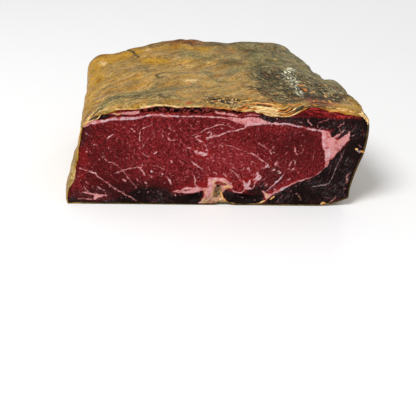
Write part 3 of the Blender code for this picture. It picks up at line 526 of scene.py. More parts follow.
# Patches on top of the rind, by mask: width, soft edge, strength, path in the frame's X and Y (mm)
PATCHES = {
    "grey": (
        (34, 20, 0.3, (-70, 26, -40, -16, 0, -10, 6, -46)),
        (11, 6, 0.75, (-88, -76, -76, -58, -56, -57, -42, -50, -30, -46)),
        (16, 6, 0.5, (-74, -66, -50, -66, -30, -64)),
        (8, 6, 0.6, (-57, 12, -50, 0)),
        (7, 5, 0.7, (-8, -8, 2, -24, 14, -28)),
        (40, 14, 0.92, (26, 64, 44, 34, 46, 0, 48, -26, 60, -44)),
        (30, 10, 0.88, (60, 62, 68, 24, 78, -6, 92, -36)),
        (26, 10, 0.85, (62, -14, 72, -42, 84, -48)),
        (26, 16, 0.6, (8, 44, 18, 10, 14, -10)),
        (20, 14, 0.66, (-24, 34, -4, 24, 8, 32)),
        (11, 6, 0.8, (-2, 60, 14, 56)),
        (6, 5, 0.5, (-20, -40, 0, -46, 18, -44)),
        (12, 8, 0.5, (80, -52, 96, -58)),
        (12, 7, 0.75, (42, -55, 54, -61, 64, -65)),
    ),
    "gold": (
        (16, 9, 0.6, (-92, 58, -90, 20, -92, -20, -94, -60)),
        (26, 8, 1, (-82, 56, -76, 42, -70, 34)),
        (9, 4, 1, (-61, 60, -59, 48, -58, 40)),
        (14, 7, 0.85, (-52, 20, -36, 16)),
        (10, 8, 0.6, (-24, 14, -4, 24, 10, 32)),
        (20, 10, 0.64, (-52, 52, -30, 48, -4, 46)),
        (7, 5, 0.7, (-68, -22, -56, -14)),
        (12, 7, 0.7, (0, -62, 20, -63, 34, -66, 46, -70)),
        (14, 7, 0.8, (98, -52, 104, -62, 107, -74)),
        (5, 3, 1, (66, -74, 84, -74.5, 104, -74)),
        (8, 6, 0.5, (-80, -5, -60, 6, -44, 4)),
        (5, 3, 1, (-60, 58, -57, 46, -54, 38)),
    ),
    "dark": (
        (14, 10, 0.6, (-52, 56, -8, 55, 10, 58)),
        (1.6, 1.3, 0.8, (-80, -52, -76, -56, -72, -55, -68, -58)),
        (2, 1.6, 0.6, (-52, -53, -42, -52, -35, -48, -31, -44)),
        (1.4, 1.2, 0.6, (-66, -66, -58, -64, -50, -68)),
        (2, 1.2, 0.88, (-69, 62, -63, 48, -58, 35, -56, 26)),
        (6, 5, 0.48, (-61, 23, -57, 17)),
        (1.4, 1, 1, (-38, -13, -41, -14, -43, -18, -42.5, -22, -40, -24.5, -37.5, -23)),
        (2.6, 2, 0.5, (-35, -12, -27, -13)),
        (3, 2.5, 0.5, (-53, 6, -50, -2, -48, -10)),
        (7, 6, 0.75, (-19, 62, -15, 58, -14, 51)),
        (14, 12, 0.66, (-30, 58, -12, 58)),
        (8, 8, 0.56, (-3, 58, 4, 55)),
        (4, 5, 0.7, (-31, 62, -30, 50)),
        (14, 9, 0.6, (36, -4, 46, -12, 44, -26, 36, -40)),
        (2.6, 2, 0.85, (24, -34, 34, -42, 44, -50, 53, -60)),
        (5, 4, 0.55, (38, -48, 50, -56)),
        (2.2, 1.8, 0.7, (31, 36, 24, 20, 21, 8)),
        (13, 15, 0.66, (-96, 60, -40, 62, 20, 64, 56, 64)),
        (6, 5, 0.6, (5, 60, 14, 50)),
        (7, 5, 0.6, (78, -44, 90, -52, 98, -46)),
        (14, 7, 0.84, (56, -52, 70, -58, 86, -61)),
        (8, 6, 0.55, (72, -50, 84, -54)),
        (10, 6, 0.76, (76, -54, 90, -58)),
        (14, 8, 0.54, (52, -42, 84, -50)),
        (8, 5, 0.6, (46, -58, 56, -63, 66, -67)),
        (4, 3, 0.75, (-7, -63, 0, -66, 12, -62)),
        (5, 4, 0.5, (62, -8, 66, -20, 72, -30)),
        (11, 6, 0.5, (58, 0, 55, -12, 58, -30)),
        (4, 3, 0.6, (50, 30, 56, 20, 58, 12)),
        (4, 5, 0.6, (45, 56, 38, 44, 31, 30, 25, 18)),
        (2, 2, 0.5, (48, 60, 41, 50, 35, 42)),
        (3, 3, 0.7, (56, 56, 53, 42, 49, 34, 51, 24)),
        (3, 3, 0.55, (38, 20, 33, 6, 30, -8)),
        (10, 7, 0.62, (22, 14, 10, 12)),
        (2.6, 1.4, 0.8, (-41, -67, -38, -68)),
        (8, 5, 0.5, (62, -67, 72, -70, 80, -72)),
        (8, 6, 0.45, (60, -62, 72, -66, 82, -66)),
    ),
    "warm": (
        (22, 8, 0.8, (-31, 64, -12, 60)),
        (7, 6, 0.6, (-28, 56, -26, 44)),
        (17, 9, 0.42, (8, 40, 27, 37)),
        (9, 7, 0.36, (14, 22, 8, 2)),
        (13, 6, 0.95, (60, -58, 70, -64, 82, -67)),
        (10, 8, 0.4, (-20, -34, 8, -40, 30, -42)),
        (8, 6, 0.5, (-72, -20, -58, -12)),
    ),
    "cream": (
        (1.6, 1.2, 0.45, (29, 32, 24, 20, 21, 8)),
        (8, 4, 0.75, (-23, -31, -14, -27)),
        (4.5, 4, 0.7, (-87, 40, -85, 29)),
        (5, 3, 0.55, (-51, 58, -50, 44)),
        (9, 6, 0.36, (86, -61, 98, -66)),
        (4, 4, 0.4, (0, 18, -4, 12)),
    ),
    "red": (
        (2.6, 1.8, 0.85, (-31, -69.6, -27, -70.2)),
        (2.8, 1.8, 0.85, (-22, -70.4, -18, -71)),
        (10, 5, 0.62, (64, -66, 72, -70, 80, -73)),
    ),
    # wet: glossier patches, where pale specks are laid as droplets and as painted glints
    "wet": (
        (9, 3, 1, (61, 0, 57, -8, 55, -16, 58, -28)),
        (5, 2.5, 0.75, (58, -27, 58.6, -40, 60, -50, 62, -57)),
        (4, 2, 0.8, (61, -28, 64, -33)),
        (5, 4, 0.6, (85, -36, 92, -46)),
        (4, 3, 0.4, (8, -17, 6, -21)),
    ),
    "rough": (
        (20, 7, 1, (-6, -66, 14, -66)),
        (16, 8, 1, (26, -38, 40, -48, 52, -58)),
        (12, 8, 0.8, (20, -62, 40, -64, 60, -66)),
        (34, 14, 0.85, (40, -6, 46, -24, 62, -46)),
        (26, 8, 1, (64, -14, 74, -36, 88, -50)),
        (12, 6, 0.8, (56, -54, 70, -58, 84, -62)),
        (16, 8, 0.7, (94, -46, 100, -56)),
        (14, 7, 0.55, (-76, -58, -50, -62, -32, -62)),
        (22, 16, 0.25, (30, 56, 58, 40, 62, 10)),
    ),
}
RIND_MASKS = tuple(PATCHES)
PATCH_TAPER = 0.35
PATCH_WANDER = (2.6, 3.4)
# Heights from which the patches and creases show, and how far patches reach down on the right side
TOP_START = 52.0
TOP_FADE = 14.0
CREASE_START = 50.0
RIGHT_SIDE_START = 46.0
RIGHT_SIDE_LENGTH = 24.0
RIGHT_SIDE_DROP = 24.0

CREASES = (  # drawn-in folds of the rind: width, depth, path
    (2.2, 0.8, (-69, 62, -63, 48, -58, 36, -57, 31)),
    (2.4, 0.7, (24, -34, 34, -42, 44, -50, 53, -60)),
    (2.4, 0.7, (-1, -54, 9, -62, 18, -70)),
    (2.4, 0.6, (-14, 62, -15, 48)),
    (3, 0.5, (-57, 12, -50, 0, -48, -10)),
)

CRINKLED = (  # where the rind is wrinkled most: path, width, soft edge
    ((40, 40, 44, 0, 50, -40, 90, -50), 50, 22),
    ((0, -60, 60, -68), 10, 10),
)

# Torn rind on the upper edge of the cut, as flat strands: half width, half thickness (mm), tint and
# path. Tints: 0 near black, 0.14 grey, 0.27 brown, 0.5 orange, 0.75 gold, 1 cream. Heights above the
# block's upper edge lie on its top, as seen at VIEW_SLOPE from the front.
VIEW_SLOPE = 0.53
STRAND_REACH = 60.0  # span of the strands' fibre coordinates in millimetres
STRAND_STEP = 0.45  # length of one face along a strand
# Near-black strands laid in the gaps and clefts between the others are painted shade.
STRANDS = (
    (0.5, 0.35, 0.85, (-80, 74.2, -74, 75.3, -68, 75.6, -62, 75.7, -57, 76)),
    (0.6, 0.45, 0.97, (
        -58, 75.2, -56, 76.5, -52, 77.4, -47, 78.5, -42, 78.9, -38, 78.8, -34, 78, -30, 77.7, -25, 77.9)),
    (0.55, 0.45, 0.92, (-26, 77.8, -20, 78.3, -15, 78.5, -12, 78.3)),
    (0.5, 0.4, 0.57, (-14, 78.8, -9, 78.3, -4, 78, 2, 77.4, 6, 76.7, 12, 76.3)),
    (0.85, 0.6, 0.52, (9, 76.2, 13, 76.7, 17, 77.7, 20.5, 79.3)),
    (0.6, 0.5, 0.68, (12, 78.2, 15.5, 78.9, 18, 80.2, 22, 80.4)),
    # near-black: painted shade in the gaps beside the orange strands (these two)
    (0.35, 0.45, 0.02, (11, 77.3, 14, 77.8, 17.5, 79.1)),
    (0.35, 0.4, 0.04, (6.5, 77.9, 8.5, 78.3)),
    (1, 0.35, 0, (-5, 83.6, -3.2, 84.6, -1.6, 84.2)),
    (1, 0.35, 0.02, (0.6, 82.8, 2.4, 82.2, 4, 82.6)),
    (0.8, 0.3, 0, (5.8, 85.2, 7.4, 84.6, 9, 84.8)),
    (0.9, 0.35, 0.03, (-7.6, 81.8, -6, 81.2, -4.4, 81.4)),
    (0.8, 0.3, 0, (10.4, 83.6, 12.2, 83)),
    (0.9, 0.3, 0.02, (4.6, 81, 6.2, 80.4, 7.8, 80.6)),
    (0.7, 0.3, 0, (13.4, 81.8, 14.8, 81.2)),
    (0.7, 0.3, 0.9, (-1.6, 83, 0.2, 83.8, 1.2, 84.6)),
    (1.3, 0.3, 0.56, (66.6, 102, 68.6, 101.8, 70.8, 100.8)),
    (1.4, 0.3, 0.54, (66.2, 97.2, 68, 96.6, 69.6, 95.2)),
    (0.7, 0.3, 0.8, (70.4, 94, 72.8, 94.2, 75.4, 95.4)),
    (0.6, 0.3, 0.85, (7.6, 82.4, 9.2, 81.8, 10.4, 82)),
    (0.6, 0.3, 1, (2.6, 84.6, 4.2, 85.4)),
    (0.6, 0.3, 0.9, (-3.8, 80.6, -2.2, 80.2)),
    (0.6, 0.35, 0.88, (12, 81.5, 17, 83, 22, 83.9, 26, 83.4)),
    (0.45, 0.35, 0.7, (24, 82.4, 32, 82.2, 40, 81.6, 47, 80.6)),
    (0.5, 0.45, 0.95, (20, 81.2, 26, 81.6, 33, 81.4, 38, 80.9, 43, 80.2)),
    (0.9, 0.5, 0.66, (20, 79.8, 26, 80.7, 32, 80.4, 38, 79.8, 44, 78.8)),
    # near-black: painted shade in the gap above the flap
    (0.5, 0.5, 0, (25, 79.6, 29, 79.7, 33, 79.2, 37.5, 78.7)),
    (0.9, 0.6, 0.82, (13.5, 75.4, 17, 75.9, 21, 76.5, 25, 76.4)),
    (1.3, 0.7, 0.98, (20.5, 78, 26, 78.3, 31, 77.7, 36, 77.1, 42, 76.6)),
    (2, 0.8, 1, (22, 76.4, 28, 76.3, 34, 75.5, 39, 74.7, 43, 74.2)),
    (1.4, 0.7, 0.96, (29, 74.4, 34, 73.5, 38, 72.9, 42.5, 72.4)),
    (0.35, 0.95, 0.72, (26, 75.4, 32, 74.6, 37, 73.4)),
    (0.3, 0.95, 0.78, (33, 77, 38, 76, 42, 75.3)),
    (0.3, 0.8, 0.6, (20, 77.2, 25, 77.2, 29, 76.8)),
    (0.6, 0.7, 0.8, (38.5, 78.2, 42, 77.2, 46, 77.5, 49, 79.3)),
    (0.55, 0.85, 0.6, (38, 76.8, 42, 76, 45, 75.5, 48, 76.7, 51, 78.8)),
    (0.6, 0.9, 0.92, (39, 75.2, 42, 74.8, 45.5, 74.2, 49, 75.6, 52.5, 77.8, 54, 79.2)),
    (0.5, 0.85, 0.58, (39, 73.8, 43, 73.4, 47, 73.2, 50.5, 74.8, 54, 77)),
    (0.55, 0.75, 0.95, (39, 72.4, 43, 72, 48, 72.2, 52, 73.6, 55, 75.2, 58, 77.2)),
    # near-black: painted shade in the gaps between the ropes (these three)
    (0.32, 0.8, 0, (41, 77, 44, 76.4, 48, 77.9)),
    (0.32, 0.95, 0.02, (40, 75.8, 43, 75.2, 46, 75, 49.5, 76.9, 52, 79)),
    (0.32, 0.8, 0.02, (41, 73.2, 45, 72.9, 49.5, 74.2, 53, 76.4)),
    # near-black: painted shade in the cleft beside the ropes
    (0.8, 0.35, 0, (51, 75.2, 54, 77.1, 57, 79.1, 60, 80)),
    (0.35, 0.6, 0.14, (52.5, 76.6, 55, 78, 57, 79.4)),
    (0.45, 0.5, 0.58, (54, 74.6, 57, 76, 59.5, 77.6, 62, 78.8)),
    # near-black: painted shade along the upper edge of the raw band
    (0.45, 0.3, 0.03, (60, 79.2, 64, 80, 68, 80, 73, 79.5, 76, 78.5)),
    (0.5, 0.45, 0.62, (48, 80.6, 53, 80.4, 58, 81.3)),
    (0.9, 0.35, 0.27, (60, 81.2, 67, 81.8, 74, 80.8, 80, 79.8)),
    (0.6, 0.3, 0.22, (64, 83.4, 72, 83, 80, 81.4)),
    (0.8, 0.45, 0.8, (75, 77.8, 80, 76.9, 84, 77.3, 88, 76.8, 93, 76.2, 98, 75)),
    (0.45, 0.4, 0.6, (76, 76.5, 79, 76, 83, 76.3, 86, 75.4)),
    (0.5, 0.4, 0.9, (80, 78.7, 86, 78.2, 92, 77.6)),
    (0.3, 0.35, 0.04, (76, 79.3, 82, 78.2, 88, 78, 94, 77)),
    (1.1, 0.5, 0.95, (97, 75, 101, 74, 104, 71.6, 105.8, 68.8, 106.2, 66)),
    (0.45, 0.35, 1, (100.5, 77, 102.5, 73.5, 104, 70)),
    (0.5, 0.4, 0.88, (-98.2, 61.6, -96, 64.8, -93, 67.6, -90, 70.4)),
    (0.4, 0.3, 0.95, (-97.4, 62.2, -92.6, 65.4, -88.4, 68)),
    (0.4, 0.3, 0.14, (-93, 66.6, -90, 67.8, -87, 70)),
    (0.45, 0.35, 0.88, (-96.5, 65.4, -92, 69.8, -87.5, 74.8, -84, 78.4)),
    (0.4, 0.3, 0.16, (-95, 65, -90.5, 69.6, -86, 74, -82, 77.8)),
    (0.5, 0.35, 0.86, (-85, 72.8, -80, 75.8, -74, 77.6, -69, 78)),
    (0.4, 0.3, 0.86, (-94, 67.4, -90, 69.4, -86.5, 72.6, -83, 75.4)),
    (0.35, 0.3, 0.9, (-89, 66.6, -86.5, 68.6, -84.5, 71.4)),
    (0.45, 0.35, 0.9, (-98.4, 61.4, -99.4, 57, -100.6, 52)),
)

# Specks of torn rind scattered on top, near the cut: number, low and high end across and up,
# slope (rise over run), tints
SCATTERED = (
    (22, (-9.0, 17.0), (79.8, 86.5), 0.4, (0.0, 0.06, 0.85, 0.95, 1.0)),
    (14, (-6.0, 16.0), (79.4, 85.0), -0.3, (0.0, 0.0, 0.03, 0.7)),
    (16, (22.0, 58.0), (83.0, 95.0), -0.5, (0.0, 0.06, 0.30, 0.8)),
    (12, (60.0, 90.0), (80.5, 92.0), -0.5, (0.0, 0.27, 0.8, 0.55)),
)

CRUMBS = (  # place across, deep and up, half length, half height (mm), turn, tint
    (100.2, -0.1, 46.8, 1.2, 0.8, 0.45, 0.85),
    (104.8, -0.1, 45.0, 1.3, 0.8, 0.10, 0.75),
    (106.6, 0.4, 52.2, 0.7, 0.6, 0.0, 0.90),
    (101.8, 0.4, 30.2, 0.6, 0.8, 0.3, 0.75),
    (79.4, -0.3, 2.0, 1.7, 0.6, -0.2, 0.80),
    (96.9, 0.2, 6.8, 1.3, 0.6, -0.5, 0.20),
    (41.4, -0.1, 6.2, 0.8, 0.4, -0.8, 0.55),
    (-57.6, -0.4, 0.8, 0.9, 0.6, -0.4, 0.05),
)

# Floor, light and camera
FLOOR_HALF_WIDTH = 4.0
WORLD_STRENGTH = 0.5
LIGHTS = {  # place, aim, diameter (m), power (W)
    "key": ((-0.50, -0.70, 1.20), (0.0, 0.0, 0.03), 0.6, 16.0),
    "back": ((0.50, 1.15, 0.75), (0.03, 0.0, 0.06), 0.25, 1.8),
}
LENS = 86.54
CAMERA_ANGLES = (-4.0, 28.0, 2.4147)  # azimuth, elevation and roll in degrees
CAMERA_TARGET = (0.00054, -0.0052, -0.03997)
CAMERA_DISTANCE = 0.82294


# Number helpers; places and values may be arrays

def smooth_step(t):
    t = np.clip(t, 0.0, 1.0)
    return t * t * (3.0 - 2.0 * t)


def rise(value, start, length):
    """From 0 up to 1 over a length that starts at a value."""
    return smooth_step((value - start) / length)


def fall(value, end, length):
    """From 1 down to 0 over a length that ends at a value."""
    return smooth_step((end - value) / length)


def swell(distance):
    """Round bump: 1 in the middle, 0 at distance 1 and beyond."""
    return np.maximum(0.0, 1.0 - distance * distance) ** 2


def curve_value(knots, place):
    """Smooth curve through (place, value) knots, with the slope of each knot's neighbours."""
    xs, ys = np.array(knots, dtype=float).T
    place = np.clip(place, xs[0], xs[-1])
    i = np.clip(np.searchsorted(xs, place, side="left") - 1, 0, len(xs) - 2)
    before, after = np.maximum(i - 1, 0), np.minimum(i + 2, len(xs) - 1)
    slope0 = (ys[i + 1] - ys[before]) / (xs[i + 1] - xs[before])
    slope1 = (ys[after] - ys[i]) / (xs[after] - xs[i])
    span = xs[i + 1] - xs[i]
    t = (place - xs[i]) / span
    return (
        (2 * t**3 - 3 * t**2 + 1) * ys[i]
        + (t**3 - 2 * t**2 + t) * span * slope0
        + (3 * t**2 - 2 * t**3) * ys[i + 1]
        + (t**3 - t**2) * span * slope1
    )


def along_curve(curve, share):
    """Place at a share of the way from a curve's first knot to its last, and its value there."""
    place = curve[0][0] + share * (curve[-1][0] - curve[0][0])
    return place, curve_value(curve, place)


def noise_at(points, waves, offset=(0.0, 0.0, 0.0)):
    """Smooth noise, about -1 to 1, at points given in millimetres."""
    places = points / np.array(waves) + np.array(offset)
    return np.array([noise.noise(place) for place in places.tolist()])


# The section and the block, as in the part, but in millimetres and for arrays

def on_cut(x, z):
    """Points (across, deep, up) of places on the flat cut."""
    return np.array((x, np.zeros_like(x), z)).T


def section_points(u, v):
    """Places (across, up) of the cut, blended between its four edges."""
    size = np.array((CUT_WIDTH, CUT_HEIGHT))[:, None]
    base_x, base_z = along_curve(BASE_CURVE, u)
    base = np.array((base_x * CUT_WIDTH, base_z))
    top = np.array(along_curve(TOP_CURVE, u)) * size
    left = np.array(along_curve(LEFT_CURVE, v)[::-1]) * size
    right = np.array(along_curve(RIGHT_CURVE, v)[::-1]) * size
    low_left, low_right = (np.array((x * CUT_WIDTH, z))[:, None] for x, z in (BASE_CURVE[0], BASE_CURVE[-1]))
    high_left, high_right = (np.array(end)[:, None] * size for end in (TOP_CURVE[0], TOP_CURVE[-1]))
    corners = (1 - u) * (1 - v) * low_left + u * (1 - v) * low_right
    corners += (1 - u) * v * high_left + u * v * high_right
    return (1 - v) * base + v * top + (1 - u) * left + u * right - corners


def end_rounding(w, length):
    t = np.maximum(0.0, 1.0 - (1.0 - w) * BLOCK_DEPTH / length)
    return 1.0 - np.sqrt(np.maximum(0.0, 1.0 - t * t))


def block_points(u, w, v):
    """Points (across, deep, up) of the block without relief, in millimetres."""
    across, up = section_points(u, v)
    deep = w * BLOCK_DEPTH
    share_across = across / CUT_WIDTH + 0.5
    up = up - SHOULDER_DROP * w * w * swell((across - SHOULDER_X) / SHOULDER_HALF_WIDTH) * v
    up = up + DIP_FILL * smooth_step(deep / DIP_DEPTH) * swell((across - DIP_X) / DIP_HALF_WIDTH) * v
    across = across + (RIGHT_SWELL * np.sin(math.pi * w) - RIGHT_TAPER * w) * share_across
    draw_in = FAR_LEFT_INSET * end_rounding(w, FAR_LEFT_LENGTH)
    draw_in = draw_in + LEFT_FOOT_DRAW * smooth_step(deep / LEFT_FOOT_DEPTH) * (1.0 - v)
    across = across + draw_in * (1.0 - share_across)
    inset = FAR_END_INSET * end_rounding(w, FAR_END_LENGTH)
    middle_across, middle_up = FAR_END_MIDDLE
    across = middle_across + (across - middle_across) * (1.0 - inset / FAR_END_HALF_WIDTH)
    up = middle_up + (up - middle_up) * (1.0 - inset / middle_up)
    deep = deep - FAR_END_BOW * (2.0 * share_across - 1.0) ** 2 * w**3
    return np.array((across, deep, up)).T


def lip_shares(u, v, part):
    """Shares (u, v) of a place drawn in from the outline by a part of the rind's thickness."""
    x, z = section_points(u, v)
    wobble = 1.0 + LIP_WOBBLE * noise_at(on_cut(x, z), (5.0, 1.0, 5.0), (0.0, 0.4, 0.0))
    left, right = (curve_value(lip, z) * wobble for lip in (LEFT_LIP, RIGHT_LIP))
    base, top = (curve_value(lip, x) * wobble for lip in (BASE_LIP, TOP_LIP))
    in_u = u + part * (left * (1.0 - u) - right * u) / CUT_WIDTH
    in_v = v + part * (base * (1.0 - v) - top * v) / CUT_HEIGHT
    return in_u, in_v


def groove_height(x):
    """Height of the notch at the foot of the cut."""
    return GROOVE_HEIGHT * swell((x - GROOVE_X) / GROOVE_HALF_WIDTH)


def tray_outline(u, v, part, deep):
    """Places (across, up) on the cut or behind it, drawn in by a part of the rind's thickness."""
    across, up = section_points(*lip_shares(u, v, part))
    up = up + groove_height(across) * smooth_step(1.0 - up / NOTCH_REACH)
    draw_in = RIGHT_DRAW_IN * np.maximum(deep, 0.0) / FACE_BACK
    return across - draw_in * rise(across, RIGHT_DRAW_START, RIGHT_DRAW_LENGTH), up


def to_frame(points):
    """Section millimetres (across, deep, up) to the frame's metres."""
    return (points + np.array((SECTION_X, SECTION_Y, 0.0))) * MM


# Painting: masks from paths and outlines, over arrays of places in millimetres

def path_distance(x, z, path):
    """Distance to a path of straight stretches, and how far along it the nearest place is (0 to 1)."""
    near = np.full(x.shape, 1e9)
    along = np.zeros(x.shape)
    for i in range(len(path) - 1):
        (x0, z0), (x1, z1) = path[i], path[i + 1]
        dx, dz = x1 - x0, z1 - z0
        t = np.clip(((x - x0) * dx + (z - z0) * dz) / max(dx * dx + dz * dz, TINY), 0.0, 1.0)
        distance = np.hypot(x - x0 - t * dx, z - z0 - t * dz)
        closer = distance < near
        near[closer] = distance[closer]
        along[closer] = (i + t[closer]) / (len(path) - 1)
    return near, along


def pairs(flat):
    return np.array(flat, dtype=float).reshape(-1, 2)


def close_by(x, z, path, reach):
    low, high = path.min(axis=0) - reach, path.max(axis=0) + reach
    return np.flatnonzero((x > low[0]) & (x < high[0]) & (z > low[1]) & (z < high[1]))


def stroke(x, z, flat, width, soft, taper=0.55):
    """Mask of a brush stroke along a path: 1 on it, 0 beyond its soft edge, thinner at its ends."""
    path = pairs(flat)
    mask = np.zeros(x.shape)
    spots = close_by(x, z, path, np.max(width) + soft)
    width = np.broadcast_to(width, x.shape)[spots]
    near, along = path_distance(x[spots], z[spots], path)
    round_off = np.sqrt(np.sin(math.pi * np.clip(along, 0.03, 0.97)))
    half = 0.5 * width * (1.0 - taper + taper * round_off)
    mask[spots] = smooth_step((half + soft - near) / (2.0 * soft))
    return mask


def area(x, z, flat, soft):
    """Mask of an outlined area: 1 well inside, a half on the outline, 0 outside."""
    outline = pairs(flat)
    mask = np.zeros(x.shape)
    spots = close_by(x, z, outline, soft)
    px, pz = x[spots], z[spots]
    inside = np.zeros(px.shape, dtype=bool)
    for (x0, z0), (x1, z1) in zip(outline, np.roll(outline, -1, axis=0)):
        if z0 != z1:
            crosses = (z0 > pz) != (z1 > pz)
            inside ^= crosses & (px < x0 + (pz - z0) * (x1 - x0) / (z1 - z0))
    near, _ = path_distance(px, pz, np.vstack((outline, outline[:1])))
    signed = np.where(inside, near, -near)
    mask[spots] = smooth_step(0.5 + signed / (2.0 * soft))
    return mask


def layered(masks):
    """The strongest of several masks at each place."""
    return np.maximum.reduce(list(masks))


def lean_angle(x):
    """Angle of the lean's grain in radians, by place across the cut."""
    if x < LEAN_TURNS[0]:
        return -1.0
    return -0.45 if x < LEAN_TURNS[1] else 1.15


def marbling_specks(count, seed):
    """Random specks and dashes of fat: path, width, tint and strength."""
    draw = np.random.default_rng(seed)
    for _ in range(count):
        x, z = (draw.uniform(*ends) for ends in MARBLED_AREA)
        length, width = 0.3 + 3.2 * draw.uniform() ** 3, draw.uniform(0.35, 1.0)
        angle = lean_angle(x) + draw.normal(0.0, 0.5)
        bend = draw.normal(0.0, 0.25)
        dx, dz = 0.5 * length * math.cos(angle), 0.5 * length * math.sin(angle)
        path = (x - dx, z - dz, x - bend * dz, z + bend * dx, x + dx, z + dz)
        strength = draw.uniform(0.2, 0.85) * (1.0 - 0.16 * length) * (0.6 if x > DARK_MUSCLE_X else 1.0)
        yield path, width, draw.uniform(0.4, 0.7), strength


def paint_cut(x, z, marbling, seed):
    """Masks of the cut face, from seams, fields, dried areas and seeded marbling."""
    places = on_cut(x, z)
    broad, fine = (2.8, 1.0, 2.8), (1.1, 1.0, 1.1)
    x = x + WANDER * noise_at(places, broad, (0.0, 2.2, 0.0)) + FINE_WANDER * noise_at(places, fine)
    z = z + WANDER * noise_at(places, broad, (5.5, 7.1, 3.3))
    z = z + FINE_WANDER * noise_at(places, fine, (9.0, 3.0, 4.0))
    fat = np.zeros(x.shape)
    tint = np.full(x.shape, MEAN_TINT)

    def lay(mask, colour, strength):
        cover = mask * strength
        tint[:] = tint * (1.0 - cover) + colour * cover
        fat[:] = np.maximum(fat, cover)

    for flat, width, colour, strength in marbling_specks(marbling, seed):
        lay(stroke(x, z, flat, width, 0.35), colour, strength)
    patchy = 1.0 + 0.5 * noise_at(places, (2.6, 1.0, 2.6), (3.0, 9.0, 1.0))
    for width, colour, strength, flat in SEAMS:
        lay(stroke(x, z, flat, 0.9 * width * patchy, 0.4), colour, strength * np.minimum(1.0, 0.95 * patchy))
    for colour, strength, flat in FIELDS.values():
        lay(area(x, z, flat, 0.45), colour, strength)
    for width, colour, flat in LIGHT_EDGES:
        mask = stroke(x, z, flat, width, 0.7) * fat
        tint[:] = tint * (1.0 - 0.8 * mask) + colour * 0.8 * mask
    for flat, strength in RED_ISLANDS:
        fat *= 1.0 - strength * area(x, z, flat, 0.5)
    tone = np.full(x.shape, MEAN_TONE)
    for change, width, soft, flat in LEAN_TONES:
        tone += change * stroke(x, z, flat, width, soft)
    masks = {"fat": fat, "tint": tint, "tone": tone, "gap": area(x, z, GAP, 0.5)}
    for name, rows in (("dry", DRY_AREAS), ("raw", RAW)):
        masks[name] = layered(area(x, z, flat, soft) * strength for strength, soft, flat in rows)
    for name, rows, soft in (("wet_highlight", WET_HIGHLIGHTS, 0.8), ("gold", GOLDEN, 0.4)):
        masks[name] = layered(stroke(x, z, flat, width, soft) * strength for width, strength, flat in rows)
    masks["blush"] = layered(stroke(x, z, flat, 0.6 * reach, 0.8 * reach) * s for reach, s, flat in HALOS)
    masks["olive"] = layered(area(x, z, flat, 0.8) * strength for flat, strength in OLIVE)
    return masks


def patch_mask(x, y, width, soft, strength, flat):
    return stroke(x, y, flat, width, soft, PATCH_TAPER) * strength


def paint_rind(points):
    """Masks of the rind, from the patches on its top and from noise on its sides."""
    x, y, z = points[:, 0] + SECTION_X, points[:, 1] + SECTION_Y, points[:, 2]
    x = x + PATCH_WANDER[0] * noise_at(points, (13.0, 13.0, 13.0), (0.3, 0.1, 0.7))
    y = y + PATCH_WANDER[1] * noise_at(points, (13.0, 16.0, 13.0), (4.4, 5.1, 6.7))
    lowered = RIGHT_SIDE_DROP * rise(x, RIGHT_SIDE_START, RIGHT_SIDE_LENGTH)
    high = rise(z + lowered, TOP_START, TOP_FADE)
    masks = {}
    for name, patches in PATCHES.items():
        masks[name] = layered(patch_mask(x, y, *patch) for patch in patches) * high
    clouds = noise_at(points, (46.0, 30.0, 24.0), (1.2, 3.4, 0.6))
    stains = noise_at(points, (20.0, 14.0, 12.0), (7.2, 0.4, 5.6))
    sides = (
        ("grey", 0.45 + 0.8 * clouds, 0.62),
        ("gold", 0.45 - 0.8 * clouds, 0.55),
        ("dark", 1.6 * stains - 0.35, 0.6),
    )
    for name, pattern, strength in sides:
        masks[name] = np.maximum(masks[name], (1.0 - high) * smooth_step(pattern) * strength)
    return masks


# Mesh helpers

def gridded_cube(cuts):
    """Cube from 0 to 1 with its edges cut into an even grid along each axis."""
    bm = bmesh.new()
    bmesh.ops.create_cube(bm, size=1.0)
    bmesh.ops.translate(bm, vec=Vector((0.5, 0.5, 0.5)), verts=bm.verts)
    for axis, count in enumerate(cuts):
        along = [e for e in bm.edges if abs(e.verts[0].co[axis] - e.verts[1].co[axis]) > TINY]
        bmesh.ops.subdivide_edges(bm, edges=along, cuts=count, use_grid_fill=True)
    return bm


def grown_edges(bm, edges, axis, place):
    """Extrude open edges, put the new vertices at a place along an axis, and return the new open edges."""
    grown = bmesh.ops.extrude_edge_only(bm, edges=edges)["geom"]
    for vert in (g for g in grown if isinstance(g, bmesh.types.BMVert)):
        vert.co[axis] = place
    return [g for g in grown if isinstance(g, bmesh.types.BMEdge) and g.is_boundary]


def new_mesh(bm, name):
    """Smooth-shaded mesh from a bmesh, which is freed."""
    mesh = bpy.data.meshes.new(name)
    bm.to_mesh(mesh)
    bm.free()
    mesh.shade_smooth()
    return mesh


def outward_mesh(bm, name):
    bmesh.ops.recalc_face_normals(bm, faces=bm.faces)
    return new_mesh(bm, name)


def flip_outward(mesh):
    """Turn the faces of a closed mesh outward."""
    bm = bmesh.new()
    bm.from_mesh(mesh)
    bmesh.ops.recalc_face_normals(bm, faces=bm.faces)
    bm.to_mesh(mesh)
    bm.free()
    mesh.update()


def joined_mesh(name, parts):
    """One mesh from many small ones, which are removed."""
    whole = bmesh.new()
    for part in parts:
        whole.from_mesh(part)
        bpy.data.meshes.remove(part)
    return new_mesh(whole, name)


def read_vectors(source, field):
    values = np.empty(len(source) * 3, dtype=np.float32)
    source.foreach_get(field, values)
    return values.reshape(-1, 3).astype(float)


def mesh_points(mesh):
    return read_vectors(mesh.vertices, "co")


def set_mesh_points(mesh, points):
    mesh.vertices.foreach_set("co", points.astype(np.float32).ravel())
    mesh.update()


def store_masks(mesh, masks):
    for name, values in masks.items():
        layer = mesh.attributes.new(name, "FLOAT", "POINT")
        layer.data.foreach_set("value", np.clip(values, 0.0, 1.0).astype(np.float32))


